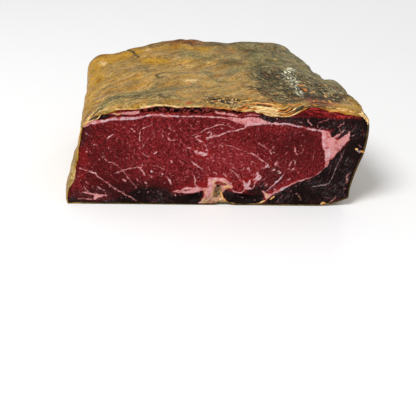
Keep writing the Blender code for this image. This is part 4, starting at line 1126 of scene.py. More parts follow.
def new_object(name, data):
    made = bpy.data.objects.new(name, data)
    bpy.context.scene.collection.objects.link(made)
    return made


def finish_piece(name, mesh, material):
    mesh.materials.append(material)
    piece = new_object(name, mesh)
    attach(piece, "root")
    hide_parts(NODE)


# Shader helpers. A colour is a socket, a screen colour (three numbers of 0 to 255) or four linear
# numbers.

def linear(red, green, blue):
    """Colour as seen on screen (0 to 255) to the linear value that a shader takes."""
    values = []
    for part in (red, green, blue):
        part = part / 255.0
        values.append(part / 12.92 if part <= 0.04045 else ((part + 0.055) / 1.055) ** 2.4)
    return tuple(values)


def shader_colour(colour):
    return (*linear(*colour), 1.0) if isinstance(colour, tuple) and len(colour) == 3 else colour


def connect(tree, value, socket):
    if isinstance(value, bpy.types.NodeSocket):
        tree.links.new(value, socket)
    else:
        socket.default_value = value


def add_node(tree, kind, settings=None, **sockets):
    """New node with its settings, and its sockets set to a value or linked to another socket."""
    new = tree.nodes.new("ShaderNode" + kind)
    for name, value in (settings or {}).items():
        setattr(new, name, value)
    for name, value in sockets.items():
        key = int(name[1:]) if name[0] == "i" and name[1:].isdigit() else name.replace("_", " ")
        connect(tree, value, new.inputs[key])
    return new


def maths(tree, operation, a, b=0.0):
    return add_node(tree, "Math", {"operation": operation}, i0=a, i1=b).outputs[0]


def plus(tree, a, b):
    return maths(tree, "ADD", a, b)


def times(tree, a, b):
    return maths(tree, "MULTIPLY", a, b)


def weighed(tree, *terms):
    """Sum of (value, weight) terms."""
    total = times(tree, *terms[0])
    for value, weight in terms[1:]:
        total = plus(tree, total, times(tree, value, weight))
    return total


def stirred(tree, value, *patterns):
    """Value moved up and down by (pattern, reach), where a pattern runs from 0 to 1."""
    for pattern, reach in patterns:
        value = plus(tree, value, times(tree, maths(tree, "SUBTRACT", pattern, 0.5), reach))
    return value


def mixed(tree, factor, a, b, blend="MIX"):
    settings = {"data_type": "RGBA", "blend_type": blend}
    return add_node(tree, "Mix", settings, i0=factor, i6=shader_colour(a), i7=shader_colour(b)).outputs[2]


def laid(tree, colour, *layers):
    """The colour with (share, colour) layers over it, one after another."""
    for share, cover in layers:
        colour = mixed(tree, share, colour, cover)
    return colour


def shaded(tree, colour, share):
    """The colour multiplied by a grey."""
    grey = add_node(tree, "CombineColor", i0=share, i1=share, i2=share).outputs[0]
    return mixed(tree, 1.0, colour, grey, "MULTIPLY")


def mixed_value(tree, factor, a, b):
    return add_node(tree, "Mix", {"data_type": "FLOAT"}, i0=factor, i2=a, i3=b).outputs[0]


def ranged(tree, value, low, high, to_low=0.0, to_high=1.0):
    """Value brought smoothly from low..high to another range."""
    sockets = dict(Value=value, From_Min=low, From_Max=high, To_Min=to_low, To_Max=to_high)
    return add_node(tree, "MapRange", {"interpolation_type": "SMOOTHSTEP"}, **sockets).outputs[0]


def cloud(tree, vector, scale, detail=3.0, rough=0.55, bend=0.0):
    sockets = dict(Vector=vector, Scale=scale, Detail=detail, Roughness=rough, Distortion=bend)
    return add_node(tree, "TexNoise", **sockets).outputs["Fac"]


def drawn_out(tree, vector, lengths, turn, detail=3.0, rough=0.6, place=(0.0, 0.0, 0.0), upright=False):
    """Noise drawn out to these lengths (metres), turned about Z, or about Y on the upright cut."""
    turns = (0.0, turn, 0.0) if upright else (0.0, 0.0, turn)
    sockets = dict(Vector=vector, Location=place, Rotation=turns, Scale=lengths)
    mapping = add_node(tree, "Mapping", {"vector_type": "TEXTURE"}, **sockets)
    return cloud(tree, mapping.outputs[0], 1.0, detail, rough)


def first_coordinate(tree, vector):
    return add_node(tree, "SeparateXYZ", Vector=vector).outputs[0]


def mask_socket(tree, name):
    return add_node(tree, "Attribute", {"attribute_name": name}).outputs["Fac"]


def colour_ramp(tree, factor, stops):
    ramp = add_node(tree, "ValToRGB", Fac=factor)
    marks = ramp.color_ramp.elements
    while len(marks) < len(stops):
        marks.new(0.5)
    for mark, (place, colour) in zip(marks, stops):
        mark.position = place
        mark.color = shader_colour(colour)
    return ramp.outputs[0]


def group_with(name, inputs, outputs):
    """Empty node group with named sockets; returns it with its input and output sockets."""
    group = bpy.data.node_groups.new(name, "ShaderNodeTree")
    for label, kind, value in inputs:
        socket = group.interface.new_socket(name=label, in_out="INPUT", socket_type="NodeSocket" + kind)
        if value is not None:
            socket.default_value = value
    for label, kind in outputs:
        group.interface.new_socket(name=label, in_out="OUTPUT", socket_type="NodeSocket" + kind)
    return group, group.nodes.new("NodeGroupInput").outputs, group.nodes.new("NodeGroupOutput").inputs


def new_material(name):
    material = bpy.data.materials.new(name)
    material.use_nodes = True
    tree = material.node_tree
    return material, tree, tree.nodes["Principled BSDF"]


def set_shader(tree, shader, **inputs):
    for name, value in inputs.items():
        connect(tree, value, shader.inputs[name.replace("_", " ")])


def bumped(tree, height, strength, distance):
    return add_node(tree, "Bump", Strength=strength, Distance=distance, Height=height).outputs[0]


# Materials. Lengths in them are in metres, and colours are as seen on screen.

def grain_group():
    """Fine unevenness of a dried surface: a broad mottle, a fine grain and their height."""
    group = bpy.data.node_groups.get("fine_grain")
    if group:
        return group
    inputs = (("Vector", "Vector", None), ("Broad", "Float", 90.0), ("Fine", "Float", 700.0))
    outputs = [(label, "Float") for label in ("Mottle", "Grain", "Height")]
    group, start, end = group_with("fine_grain", inputs, outputs)
    mottle = ranged(group, cloud(group, start["Vector"], start["Broad"], 4.0, 0.6, 0.4), 0.3, 0.7)
    grain = ranged(group, cloud(group, start["Vector"], start["Fine"], 3.0, 0.6), 0.25, 0.75)
    connect(group, mottle, end["Mottle"])
    connect(group, grain, end["Grain"])
    connect(group, weighed(group, (mottle, 0.6), (grain, 0.4)), end["Height"])
    return group


def grain_outputs(tree, vector, broad, fine):
    sockets = dict(Vector=vector, Broad=broad, Fine=fine)
    return add_node(tree, "Group", {"node_tree": grain_group()}, **sockets).outputs


def wandering(tree, vector, scale, reach):
    """Coordinates that wander a little, so that patterns run in soft bends."""
    wave = add_node(tree, "TexNoise", Vector=vector, Scale=scale, Detail=2.0).outputs["Color"]
    wave = add_node(tree, "VectorMath", {"operation": "SUBTRACT"}, i0=wave, i1=(0.5,) * 3).outputs[0]
    wave = add_node(tree, "VectorMath", {"operation": "SCALE"}, i0=wave, Scale=reach).outputs[0]
    return add_node(tree, "VectorMath", {"operation": "ADD"}, i0=vector, i1=wave).outputs[0]


def rind_group():
    """Colour, roughness and height of rind, from the masks that say what shows where."""
    group = bpy.data.node_groups.get("rind_surface")
    if group:
        return group
    inputs = [("Vector", "Vector", None)]
    inputs += [(name.title(), "Float", 0.0) for name in RIND_MASKS]
    inputs += [(name + " Colour", "Color", (0.5, 0.5, 0.5, 1.0)) for name in ("Tan", "Gold", "Grey")]
    outputs = (("Colour", "Color"), ("Roughness", "Float"), ("Height", "Float"))
    group, start, end = group_with("rind_surface", inputs, outputs)
    vector = start["Vector"]

    def turned(rising, falling):
        """A pattern that rises to the right over most of the block and falls on its right side."""
        return mixed_value(group, turning, rising, falling)

    def lines(length, width, place=(0.0, 0.0, 0.0), detail=3.0):
        """Streaks of this length and width."""
        sizes = (length, width, width * 1.6)
        return turned(*(drawn_out(group, bent, sizes, turn, detail, 0.6, place) for turn in (0.62, -0.62)))

    bent = wandering(group, wandering(group, vector, 24.0, 0.016), 110.0, 0.0036)
    turning = times(group, first_coordinate(group, vector), 7.0)
    turning = ranged(group, plus(group, turning, cloud(group, vector, 20.0, 1.0)), 0.5, 0.8)
    streak = lines(0.024, 0.0075, detail=4.0)
    thin = lines(0.0085, 0.0021)
    soft = cloud(group, bent, 40.0, 4.0, 0.62)
    small = cloud(group, bent, 150.0, 4.0, 0.65)
    pits = turned(
        drawn_out(group, bent, (0.0046, 0.0019, 0.0022), 0.5, 4.0, 0.68),
        drawn_out(group, bent, (0.0052, 0.0015, 0.0022), -1.0, 4.0, 0.65))
    glints = drawn_out(group, bent, (0.0044, 0.0013, 0.0018), -1.2, 2.0)
    rusty = drawn_out(group, bent, (0.0052, 0.0024, 0.0026), -1.1, 2.0, place=(0.4, 0.2, 0.6))
    grain = grain_outputs(group, bent, 190.0, 760.0)

    def showing(mask, pattern, reach=0.9, strength=1.0):
        """Mask broken up by a pattern, so that a patch fades out in streaks."""
        shown = ranged(group, stirred(group, start[mask], (pattern, reach)), 0.16, 0.84)
        return times(group, shown, strength)

    def where(mask, pattern, low, high, strength):
        """A pattern's crests (or valleys, where low is above high) inside a mask."""
        return times(group, start[mask], ranged(group, pattern, low, high, 0.0, strength))

    def toned(colour, deep, pale, pale_share):
        """The colour, deeper in the pattern's valleys and paler on its crests."""
        low = mixed(group, 1.0, colour, (*deep, 1.0), "MULTIPLY")
        middle = mixed(group, ranged(group, tone, 0.0, 0.5), low, colour)
        return mixed(group, ranged(group, tone, 0.5, 1.0), middle, mixed(group, pale_share, colour, pale))

    tone = weighed(group, (streak, 0.32), (thin, 0.26), (soft, 0.12), (small, 0.16), (pits, 0.14))
    crisp = ranged(group, weighed(group, (thin, 0.55), (small, 0.45)), 0.42, 0.58)
    tone = mixed_value(group, times(group, start["Rough"], 0.8), ranged(group, tone, 0.40, 0.60), crisp)
    colour = toned(start["Tan Colour"], (0.62, 0.58, 0.50), (214, 178, 112), 0.55)
    smears = (  # length, width, place, low and high end of the pattern, strength, colour
        (0.023, 0.0075, (0.3, 0.1, 0.7), 0.49, 0.64, 0.62, (126, 112, 80)),
        (0.026, 0.0070, (0.9, 0.4, 0.2), 0.51, 0.66, 0.60, (186, 132, 36)),
        (0.017, 0.0048, (0.5, 0.8, 0.1), 0.54, 0.68, 0.55, (136, 84, 34)),
        (0.019, 0.0080, (0.1, 0.6, 0.4), 0.50, 0.66, 0.50, (196, 158, 104)),
        (0.012, 0.0030, (0.7, 0.3, 0.8), 0.58, 0.70, 0.55, (88, 86, 62)),
    )
    for length, width, place, low, high, strength, shown in smears:
        share = ranged(group, lines(length, width, place), low, high, 0.0, strength)
        colour = mixed(group, share, colour, shown)
    gold = toned(start["Gold Colour"], (0.62, 0.52, 0.36), (206, 150, 38), 0.5)
    grey = toned(start["Grey Colour"], (0.34, 0.34, 0.32), (152, 142, 92), 0.7)
    colour = mixed(group, showing("Gold", soft, strength=0.95), colour, gold)
    colour = mixed(group, showing("Grey", streak, 1.1, 0.92), colour, grey)
    slates = (
        (0.015, 0.0036, (0.2, 0.9, 0.5), 0.53, 0.64, 0.75, (66, 64, 48)),
        (0.012, 0.0030, (0.8, 0.1, 0.3), 0.53, 0.64, 0.60, (162, 144, 84)),
        (0.020, 0.0060, (0.4, 0.6, 0.9), 0.56, 0.68, 0.55, (146, 112, 56)),
    )
    for length, width, place, low, high, strength, shown in slates:
        colour = mixed(group, where("Grey", lines(length, width, place), low, high, strength), colour, shown)
    ridge = maths(group, "ABSOLUTE", maths(group, "SUBTRACT", thin, 0.5))
    rugged = maths(group, "MAXIMUM", times(group, start["Dark"], 0.7), start["Rough"])
    crack = ranged(group, ridge, 0.0, 0.045, 1.0, 0.0)
    crack = times(group, crack, ranged(group, rugged, 0.2, 1.0, 0.0, 0.85))
    # pale specks in the wet patches: partly fat droplets, partly painted glints of light
    droplets_and_glints = times(group, showing("Wet", small, 1.2), ranged(group, glints, 0.535, 0.575, 0.0, 0.92))
    colour = laid(
        group, colour,
        (showing("Warm", small, 1.2, 0.8), (158, 90, 28)),
        (showing("Cream", thin, 1.2, 0.9), (226, 190, 130)),
        (showing("Red", streak), (170, 66, 46)),
        (ranged(group, small, 0.60, 0.72, 0.0, 0.6), (206, 150, 66)),
        (ranged(group, small, 0.42, 0.32, 0.0, 0.5), (88, 76, 46)),
        (where("Rough", pits, 0.535, 0.575, 0.85), (196, 178, 124)),
        (where("Rough", pits, 0.480, 0.445, 0.95), (36, 28, 16)),
        (where("Rough", rusty, 0.61, 0.65, 0.85), (196, 112, 44)),
        (showing("Dark", thin, 1.2, 0.86), (46, 34, 18)),
        (crack, (40, 32, 18)),
        (droplets_and_glints, (250, 248, 206)),
    )
    connect(group, shaded(group, colour, ranged(group, grain["Grain"], 0.1, 0.9, 0.66, 1.27)), end["Colour"])

    rough = ranged(group, grain["Mottle"], 0.0, 1.0, 0.42, 0.60)
    connect(group, plus(group, rough, times(group, start["Wet"], -0.14)), end["Roughness"])
    height = weighed(
        group,
        (weighed(group, (streak, 0.5), (thin, 0.35)), plus(group, 0.30, times(group, rugged, 0.9))),
        (small, 0.32),
        (grain["Height"], 0.10),
        (crack, -0.22),
        (times(group, glints, start["Wet"]), 0.35),
        (times(group, pits, start["Rough"]), 0.55),
    )
    connect(group, height, end["Height"])
    return group


def rind_material(name, sizes):
    """Rind that reads its masks from the piece's attributes."""
    material, tree, shader = new_material(name)
    vector = add_node(tree, "TexCoord").outputs["Object"]
    skin = add_node(tree, "Group", {"node_tree": rind_group()}, Vector=vector)
    for mask in RIND_MASKS:
        connect(tree, mask_socket(tree, mask), skin.inputs[mask.title()])
    for label in ("Tan", "Gold", "Grey"):
        colour = getattr(sizes, label.lower() + "_colour")
        skin.inputs[label + " Colour"].default_value = (*colour, 1.0)
    set_shader(
        tree, shader,
        Base_Color=skin.outputs["Colour"],
        Roughness=skin.outputs["Roughness"],
        Normal=bumped(tree, skin.outputs["Height"], 0.9, 0.0026),
        Specular_IOR_Level=plus(tree, 0.14, times(tree, mask_socket(tree, "wet"), 0.2)),
    )
    return material


def torn_material(name):
    """Torn, waxy rind with fibres along each strand, from dark through gold to cream by its tint."""
    material, tree, shader = new_material(name)
    along = times(tree, mask_socket(tree, "along"), 2.0 * STRAND_REACH)
    aside = times(tree, mask_socket(tree, "aside"), STRAND_REACH)
    sizes = dict(X=times(tree, along, 0.28), Y=times(tree, aside, 1.5))
    fibres = cloud(tree, add_node(tree, "CombineXYZ", **sizes).outputs[0], 1.0, 3.0, 0.62, 0.4)
    shift = times(tree, maths(tree, "SUBTRACT", ranged(tree, fibres, 0.32, 0.66), 0.72), 0.34)
    tint = mask_socket(tree, "tint")
    tone = plus(tree, tint, times(tree, shift, ranged(tree, tint, 0.1, 0.6)))
    # The near-black end is also the colour of strands laid as painted shade in the torn rind's gaps.
    colour = colour_ramp(tree, tone, (
        (0.0, (34, 22, 12)), (0.14, (88, 80, 62)), (0.27, (108, 58, 24)),
        (0.5, (212, 112, 16)), (0.75, (218, 160, 68)), (1.0, (246, 214, 156)),
    ))
    set_shader(
        tree, shader,
        Base_Color=shaded(tree, colour, ranged(tree, fibres, 0.34, 0.62, 0.62, 1.10)),
        Normal=bumped(tree, fibres, 0.8, 0.0008),
        Roughness=0.4,
        Specular_IOR_Level=0.3,
    )
    return material


def cut_material(sizes):
    """Cut lean with its marbling, fat, dried crust and crumbs, laid over each other by masks."""
    material, tree, shader = new_material("cut_lean_and_fat")
    vector = add_node(tree, "TexCoord").outputs["Object"]
    names = ("fat", "tint", "tone", "dry", "raw", "blush", "wet_highlight", "gold", "olive", "gap")
    mask = {name: mask_socket(tree, name) for name in names}
    grain = grain_outputs(tree, vector, 170.0, 900.0)

    def drawn(lengths, turn, detail=3.0, rough=0.6):
        return drawn_out(tree, vector, lengths, turn, detail, rough, upright=True)

    def edge(name, pattern, reach, low, high):
        """Mask with an edge that a pattern makes ragged."""
        return ranged(tree, stirred(tree, mask[name], (pattern, reach)), low, high)

    zones = cloud(tree, vector, 30.0, 3.0, 0.55, 0.6)
    flesh = cloud(tree, vector, 720.0, 4.0, 0.72)
    side = ranged(tree, first_coordinate(tree, vector), -0.01, 0.045)
    leftward = drawn((0.0034, 0.0008, 0.0009), 0.75)
    rightward = drawn((0.0036, 0.0008, 0.0009), -1.05)
    fibres = mixed_value(tree, side, leftward, rightward)
    bundles = add_node(tree, "TexVoronoi", {"feature": "DISTANCE_TO_EDGE"}, Vector=vector, Scale=620.0)
    sheath = ranged(tree, bundles.outputs["Distance"], 0.0, 0.16, 1.0, 0.0)
    smear = drawn((0.0055, 0.0014, 0.0016), 0.2, 4.0, 0.65)
    clotted = cloud(tree, vector, 330.0, 4.0, 0.65)
    cords = drawn((0.007, 0.0012, 0.0012), -0.8)

    lean = (*sizes.lean_colour, 1.0)
    deep_lean = (*(0.34 * part for part in lean[:3]), 1.0)
    bright_lean = (*(1.7 * part + more for part, more in zip(lean, (0.01, 0.017, 0.021))), 1.0)
    level = stirred(tree, mask["tone"], (zones, 0.8), (flesh, 2.7), (fibres, 1.9), (grain["Grain"], 1.0))
    flecks = ranged(tree, cloud(tree, vector, 560.0, 2.0, 0.5), 0.58, 0.70, 0.0, 0.9)
    raw = colour_ramp(tree, smear, ((0.36, (40, 6, 10)), (0.5, (98, 12, 14)), (0.66, (184, 46, 42))))
    lumpy = ranged(tree, zones, 0.44, 0.60)
    sheen = times(tree, ranged(tree, zones, 0.46, 0.62), ranged(tree, smear, 0.48, 0.62, 0.0, 0.42))
    crust = laid(
        tree, mixed(tree, ranged(tree, flesh, 0.3, 0.7), (5, 1, 1), (24, 8, 7)),
        (sheen, (62, 52, 56)),
        (times(tree, lumpy, ranged(tree, clotted, 0.53, 0.63, 0.0, 0.7)), (72, 26, 26)),
        (times(tree, lumpy, ranged(tree, fibres, 0.56, 0.63, 0.0, 0.62)), (92, 80, 82)),
    )
    bits = ranged(tree, weighed(tree, (clotted, 0.6), (flesh, 0.4)), 0.49, 0.56)
    red = laid(
        tree, colour_ramp(tree, level, ((0.0, deep_lean), (0.5, lean), (1.0, bright_lean))),
        (times(tree, sheath, 0.07), (170, 80, 84)),
        (times(tree, flecks, mask["tone"]), (192, 104, 108)),
        (times(tree, mask["blush"], 0.75), (150, 22, 20)),
        (edge("raw", smear, 1.6, 0.15, 0.85), raw),
        (edge("dry", flesh, 2.0, 0.12, 0.90), crust),
        # painted shade: the gap under the lip laid near black, with lit bits of lean in it
        (mask["gap"], mixed(tree, bits, (8, 2, 4), (198, 90, 86))),
        # painted highlight: bright pinkish red where the wet meat catches the light
        (edge("wet_highlight", flesh, 2.6, 0.35, 1.05), (206, 82, 78)),
    )

    fresh = plus(tree, 1.0, times(tree, mask["dry"], -0.7))
    greyed = times(
        tree, ranged(tree, mask["dry"], 0.7, 0.95), ranged(tree, mask["tint"], 0.50, 0.36, 0.0, 0.8))
    fat = colour_ramp(tree, stirred(tree, mask["tint"], (clotted, 1.3)), (
        (0.0, (186, 168, 180)), (0.35, (212, 164, 166)), (0.7, (212, 132, 134)),
        (0.85, (216, 158, 142)), (1.0, (214, 174, 128)),
    ))
    fat = laid(
        tree, fat,
        (ranged(tree, cloud(tree, vector, 260.0, 4.0, 0.65), 0.45, 0.64, 0.0, 0.85), (172, 66, 68)),
        (ranged(tree, flesh, 0.52, 0.66, 0.0, 0.6), (234, 204, 192)),
        (ranged(tree, cords, 0.55, 0.66, 0.0, 0.55), (198, 108, 116)),
        (times(tree, fresh, ranged(tree, mask["fat"], 0.62, 0.15, 0.0, 0.75)), (178, 66, 66)),
        (greyed, (140, 134, 140)),
    )
    ragged = times(tree, edge("fat", flesh, 1.1, 0.08, 0.82), ranged(tree, mask["fat"], 0.0, 0.12))
    olive = mixed(tree, ranged(tree, cords, 0.44, 0.56), (34, 26, 14), (158, 132, 92))
    golden = mixed(tree, grain["Mottle"], (196, 126, 42), (244, 206, 140))
    golden_share = ranged(tree, mask["gold"], 0.15, 0.7)
    colour = laid(tree, red, (ragged, fat), (mask["olive"], olive), (golden_share, golden))
    rough = ranged(tree, grain["Mottle"], 0.0, 1.0, 0.40, 0.56)
    height = weighed(tree, (grain["Height"], 0.7), (sheath, -0.15), (mask["fat"], 0.35))
    set_shader(
        tree, shader,
        Base_Color=colour,
        Roughness=plus(tree, rough, times(tree, mask["raw"], -0.12)),
        Normal=bumped(tree, height, 0.8, 0.0005),
        Specular_IOR_Level=0.07,
    )
    return material


# What a user would change

LENGTH = dict(subtype="DISTANCE", unit="LENGTH", precision=4)
COLOUR = dict(subtype="COLOR", size=3, min=0.0, max=1.0)


class CecinaSettings(bpy.types.PropertyGroup):
    """Sizes and colours of the block."""

    wrinkle_height: bpy.props.FloatProperty(
        name="Wrinkle Height", description="Height of the rind's fine wrinkles",
        default=0.45 * MM, min=0.0, max=2 * MM, **LENGTH)
    face_step: bpy.props.FloatProperty(
        name="Face Step", description="Width of one face of the cut's mesh",
        default=0.55 * MM, min=0.4 * MM, max=4 * MM, **LENGTH)
    rind_step: bpy.props.FloatProperty(
        name="Rind Step", description="Width of one face of the rind's mesh",
        default=1.25 * MM, min=MM, max=8 * MM, **LENGTH)
    gap_depth: bpy.props.FloatProperty(
        name="Gap Depth", description="Depth of the dark gap under the rind's lip",
        default=4.6 * MM, min=0.0, max=8 * MM, **LENGTH)
    marbling: bpy.props.IntProperty(
        name="Marbling", description="Number of fine specks and dashes of fat in the lean",
        default=850, min=0, max=3000)
    seed: bpy.props.IntProperty(
        name="Seed", description="Start of the random draws of the marbling", default=11, min=0)
    lean_colour: bpy.props.FloatVectorProperty(
        name="Lean", description="Colour of the cut lean", default=linear(108, 11, 14), **COLOUR)
    tan_colour: bpy.props.FloatVectorProperty(
        name="Rind Tan", description="Main colour of the rind", default=linear(165, 128, 60), **COLOUR)
    gold_colour: bpy.props.FloatVectorProperty(
        name="Rind Gold", description="Colour of the rind's yellow patches",
        default=linear(176, 130, 24), **COLOUR)
    grey_colour: bpy.props.FloatVectorProperty(
        name="Rind Grey", description="Colour of the rind's grey-green patches",
        default=linear(104, 98, 60), **COLOUR)
    floor_colour: bpy.props.FloatVectorProperty(
        name="Floor", description="Colour of the plain floor", default=(0.92, 0.92, 0.92), **COLOUR)


def settings():
    return bpy.context.scene.cecina_settings


def cut_counts(lengths, step):
    """Number of cuts along each length that makes faces about a step wide."""
    return [max(2, round(length * MM / step)) - 1 for length in lengths]


class CECINA_OT_rind(bpy.types.Operator):
    """Build the rind: the whole outside of the block, with a tray at the cut for the lean"""

    bl_idname = "cecina.rind"
    bl_label = "Rind"

    def execute(self, context):
        sizes = settings()
        bm = gridded_cube(cut_counts((CUT_WIDTH, BLOCK_DEPTH, CUT_HEIGHT), sizes.rind_step))
        front = [f for f in bm.faces if f.calc_center_median().y < TINY]
        bmesh.ops.delete(bm, geom=front, context="FACES")
        edges = [e for e in bm.edges if e.is_boundary]
        for number in range(1, len(RINGS) + 1):
            edges = grown_edges(bm, edges, 1, -number)
        bmesh.ops.contextual_create(bm, geom=edges)
        mesh = outward_mesh(bm, "rind")

        u, w, v = mesh_points(mesh).T
        points = block_points(u, np.maximum(w, 0.0), v)
        ring = np.maximum(np.round(-w), 0).astype(int)
        for number, (part, deep) in enumerate(RINGS, start=1):
            on = ring == number
            across, up = tray_outline(u[on], v[on], part, deep)
            points[on] = np.array((across, np.full(across.shape, deep), up)).T
        set_mesh_points(mesh, points)
        normals = read_vectors(mesh.vertex_normals, "vector")
        height = rind_relief(points, sizes.wrinkle_height / MM)
        under = (v < TINY) & (ring == 0)
        height[under | (ring > 0)] = 0.0
        moved = points + normals * height[:, None]
        groove = groove_height(points[:, 0]) * (1.0 - smooth_step(points[:, 1] / GROOVE_LENGTH))
        moved[under, 2] += groove[under]
        moved[:, 2] = np.maximum(moved[:, 2], 0.0)
        set_mesh_points(mesh, to_frame(moved))
        store_masks(mesh, rim_masks(points, ring, paint_rind(points)))
        finish_piece("rind", mesh, rind_material("rind", sizes))
        return {"FINISHED"}


def rind_relief(points, wrinkle_height):
    """Height of the rind in millimetres: the solid's lumps, with wrinkles and creases on them."""
    height = np.zeros(len(points))
    for wave_height, waves, offset in RIND_WAVES.values():
        height += wave_height * noise_at(points, waves, offset)
    for centre, reach, form_height in (*OUTSIDE_FORMS.values(), *RIND_FORMS.values()):
        height += form_height * swell(np.linalg.norm((points - centre) / np.array(reach), axis=1))
    height *= CUT_RIM_SHARE + (1.0 - CUT_RIM_SHARE) * smooth_step(points[:, 1] / CUT_RIM)
    x, y = points[:, 0] + SECTION_X, points[:, 1] + SECTION_Y
    crinkled = sum(stroke(x, y, *wrinkled) for wrinkled in CRINKLED)
    wrinkles = noise_at(points, (8.0, 4.0, 4.0), (1.7, 6.6, 2.9))
    wrinkles += 0.5 * noise_at(points, (3.6, 2.4, 2.4), (5.0, 0.7, 8.1))
    height += wrinkle_height * wrinkles * (0.6 + 0.9 * np.minimum(crinkled, 1.0))
    on_top = rise(points[:, 2], CREASE_START, TOP_FADE)
    for width, depth, flat in CREASES:
        height -= depth * stroke(x, y, flat, 0.4 * width, 0.8 * width) * on_top
    return height * smooth_step(points[:, 1] / CUT_EDGE) * smooth_step(points[:, 2] / BASE_RIM)


def rim_stretch(name, x, z):
    """Mask of a stretch of the cut's edge, over places across and up."""
    ends = RIM_STRETCHES[name]
    changes = (("left", rise, x), ("right", fall, x), ("low", rise, z), ("high", fall, z))
    return math.prod(change(place, *ends[end]) for end, change, place in changes if end in ends)


def rim_masks(points, ring, masks):
    """Masks of the rind with the cut edge's colours: golden lip, cream strip, dark right side, a painted
    highlight along the lit lip and painted shade under the torn strands.
    """
    x, y, z = points.T
    rim = np.where(ring > 0, 1.0, smooth_step(1.0 - y / RIM_DEPTH))
    stretches = {name: rim_stretch(name, x, z) for name in RIM_STRETCHES}
    dark_side = np.maximum(stretches["dark upper side"], stretches["dark lower side"])
    under, torn, right = (stretches[name] for name in ("base", "torn lip", "right part"))
    inner = np.where(ring >= 3, 1.0, np.where(ring == 2, 0.75, 0.15))
    bright = rim * inner * (1.0 - dark_side) * (1.0 - 0.9 * under) * (1.0 - 0.9 * torn)
    # painted highlight: cream laid along the lit stretch of the lip, and a little along the right part
    speckle = noise_at(points, (5.0, 3.0, 3.0), (3.0, 1.0, 2.0))
    lit = stretches["lit lip"] + 0.34 * right
    # dark rim: the right side's own dark colour, darker towards the base, and painted shade on the rind
    # under the torn strands
    dark_rim_and_shade = layered((0.8 * dark_side, 0.7 * under, 0.75 * torn * (ring > 0)))
    rim_parts = {
        "gold": bright * (0.8 + 0.3 * speckle),
        "cream": bright * np.maximum(lit * (0.84 + 0.6 * speckle), 0.75 * stretches["thick left side"]),
        "grey": rim * 0.4 * (1.0 - inner),
        "dark": rim * dark_rim_and_shade,
        "warm": bright * 0.5 * right,
    }
    for name, rim_part in rim_parts.items():
        masks[name] = np.maximum(masks[name] * (1.0 - rim), rim_part)
    return masks


class CECINA_OT_cut_face(bpy.types.Operator):
    """Build the cut face: lean and fat as one slab set in the rind's tray"""

    bl_idname = "cecina.cut_face"
    bl_label = "Cut Face"

    def execute(self, context):
        sizes = settings()
        bm = bmesh.new()
        columns, rows = cut_counts((CUT_WIDTH, CUT_HEIGHT), sizes.face_step)
        bmesh.ops.create_grid(bm, x_segments=columns, y_segments=rows, size=0.5)
        edges = grown_edges(bm, [e for e in bm.edges if e.is_boundary], 2, -1.0)
        bmesh.ops.contextual_create(bm, geom=edges)
        mesh = outward_mesh(bm, "cut_face")

        shares = mesh_points(mesh)
        u, v = shares[:, 0] + 0.5, shares[:, 1] + 0.5
        back = shares[:, 2] < -0.5
        x, z = tray_outline(u, v, 1.0, np.where(back, FACE_BACK, 0.0))
        masks = paint_cut(x, z, sizes.marbling, sizes.seed)
        edge = np.minimum(np.minimum(u, 1.0 - u) * CUT_WIDTH, np.minimum(v, 1.0 - v) * CUT_HEIGHT)
        height = face_height(x, z, edge, masks, sizes.gap_depth / MM)
        deep = np.where(back, FACE_BACK, FACE_DEPTH - height)
        set_mesh_points(mesh, to_frame(np.array((x, deep, z)).T))
        flip_outward(mesh)
        store_masks(mesh, masks)
        finish_piece("cut_face", mesh, cut_material(sizes))
        return {"FINISHED"}


def face_height(x, z, edge, masks, gap_depth):
    """How far the cut face stands out (+) or in (-), in millimetres."""
    height = np.zeros(x.shape)
    for centre_x, centre_z, half_width, half_height, form_height in FACE_FORMS.values():
        height += form_height * swell(np.hypot((x - centre_x) / half_width, (z - centre_z) / half_height))
    height *= smooth_step(edge / CUT_EDGE)
    places = on_cut(x, z)
    height -= gap_depth * masks["gap"]
    height += 0.16 * masks["fat"] - 0.25 * masks["olive"] + 0.5 * masks["gold"]
    height += (0.10 + 0.22 * masks["dry"]) * noise_at(places, (7.0, 1.0, 4.0), (2.0, 0.3, 0.9))
    height += (0.05 + 0.10 * masks["dry"]) * noise_at(places, (1.9, 1.0, 1.6), (0.5, 8.3, 3.9))
    return height - FACE_EDGE_DROP * smooth_step(1.0 - edge / FACE_EDGE_WIDTH)


class CECINA_OT_torn_rind(bpy.types.Operator):
    """Build the torn strands of rind on the upper edge of the cut"""

    bl_idname = "cecina.torn_rind"
    bl_label = "Torn Rind"

    def execute(self, context):
        sizes = settings()
        strands, masks = [], {"tint": [], "along": [], "aside": []}
        for number, (*lens, tint, flat) in enumerate((*STRANDS, *scattered_strands(sizes.seed))):
            strand, along, aside = strand_mesh(number, *lens, flat, sizes.wrinkle_height / MM)
            strands.append(strand)
            for values, more in zip(masks.values(), ([tint] * len(along), along, aside)):
                values.extend(more)
        mesh = joined_mesh("torn_rind", strands)
        speckle = noise_at(mesh_points(mesh) / MM, (3.4, 1.8, 1.8), (0.6, 0.2, 0.9))
        masks["tint"] = np.array(masks["tint"]) + 0.10 * speckle
        store_masks(mesh, masks)
        finish_piece("torn_rind", mesh, torn_material("torn_rind"))
        return {"FINISHED"}


def scattered_strands(seed):
    """Short strands drawn at random inside the areas of SCATTERED."""
    draw = np.random.default_rng(seed)
    strands = []
    for count, (left, right), (low, high), slope, tints in SCATTERED:
        for _ in range(count):
            x, up, half = draw.uniform(left, right), draw.uniform(low, high), draw.uniform(0.3, 1.0)
            rise_by = half * (slope + draw.normal(0.0, 0.7))
            flat = (x - half, up - rise_by, x, up + draw.normal(0.0, 0.25), x + half, up + rise_by)
            strands.append((draw.uniform(0.30, 0.65), draw.uniform(0.22, 0.40), draw.choice(tints), flat))
    return strands


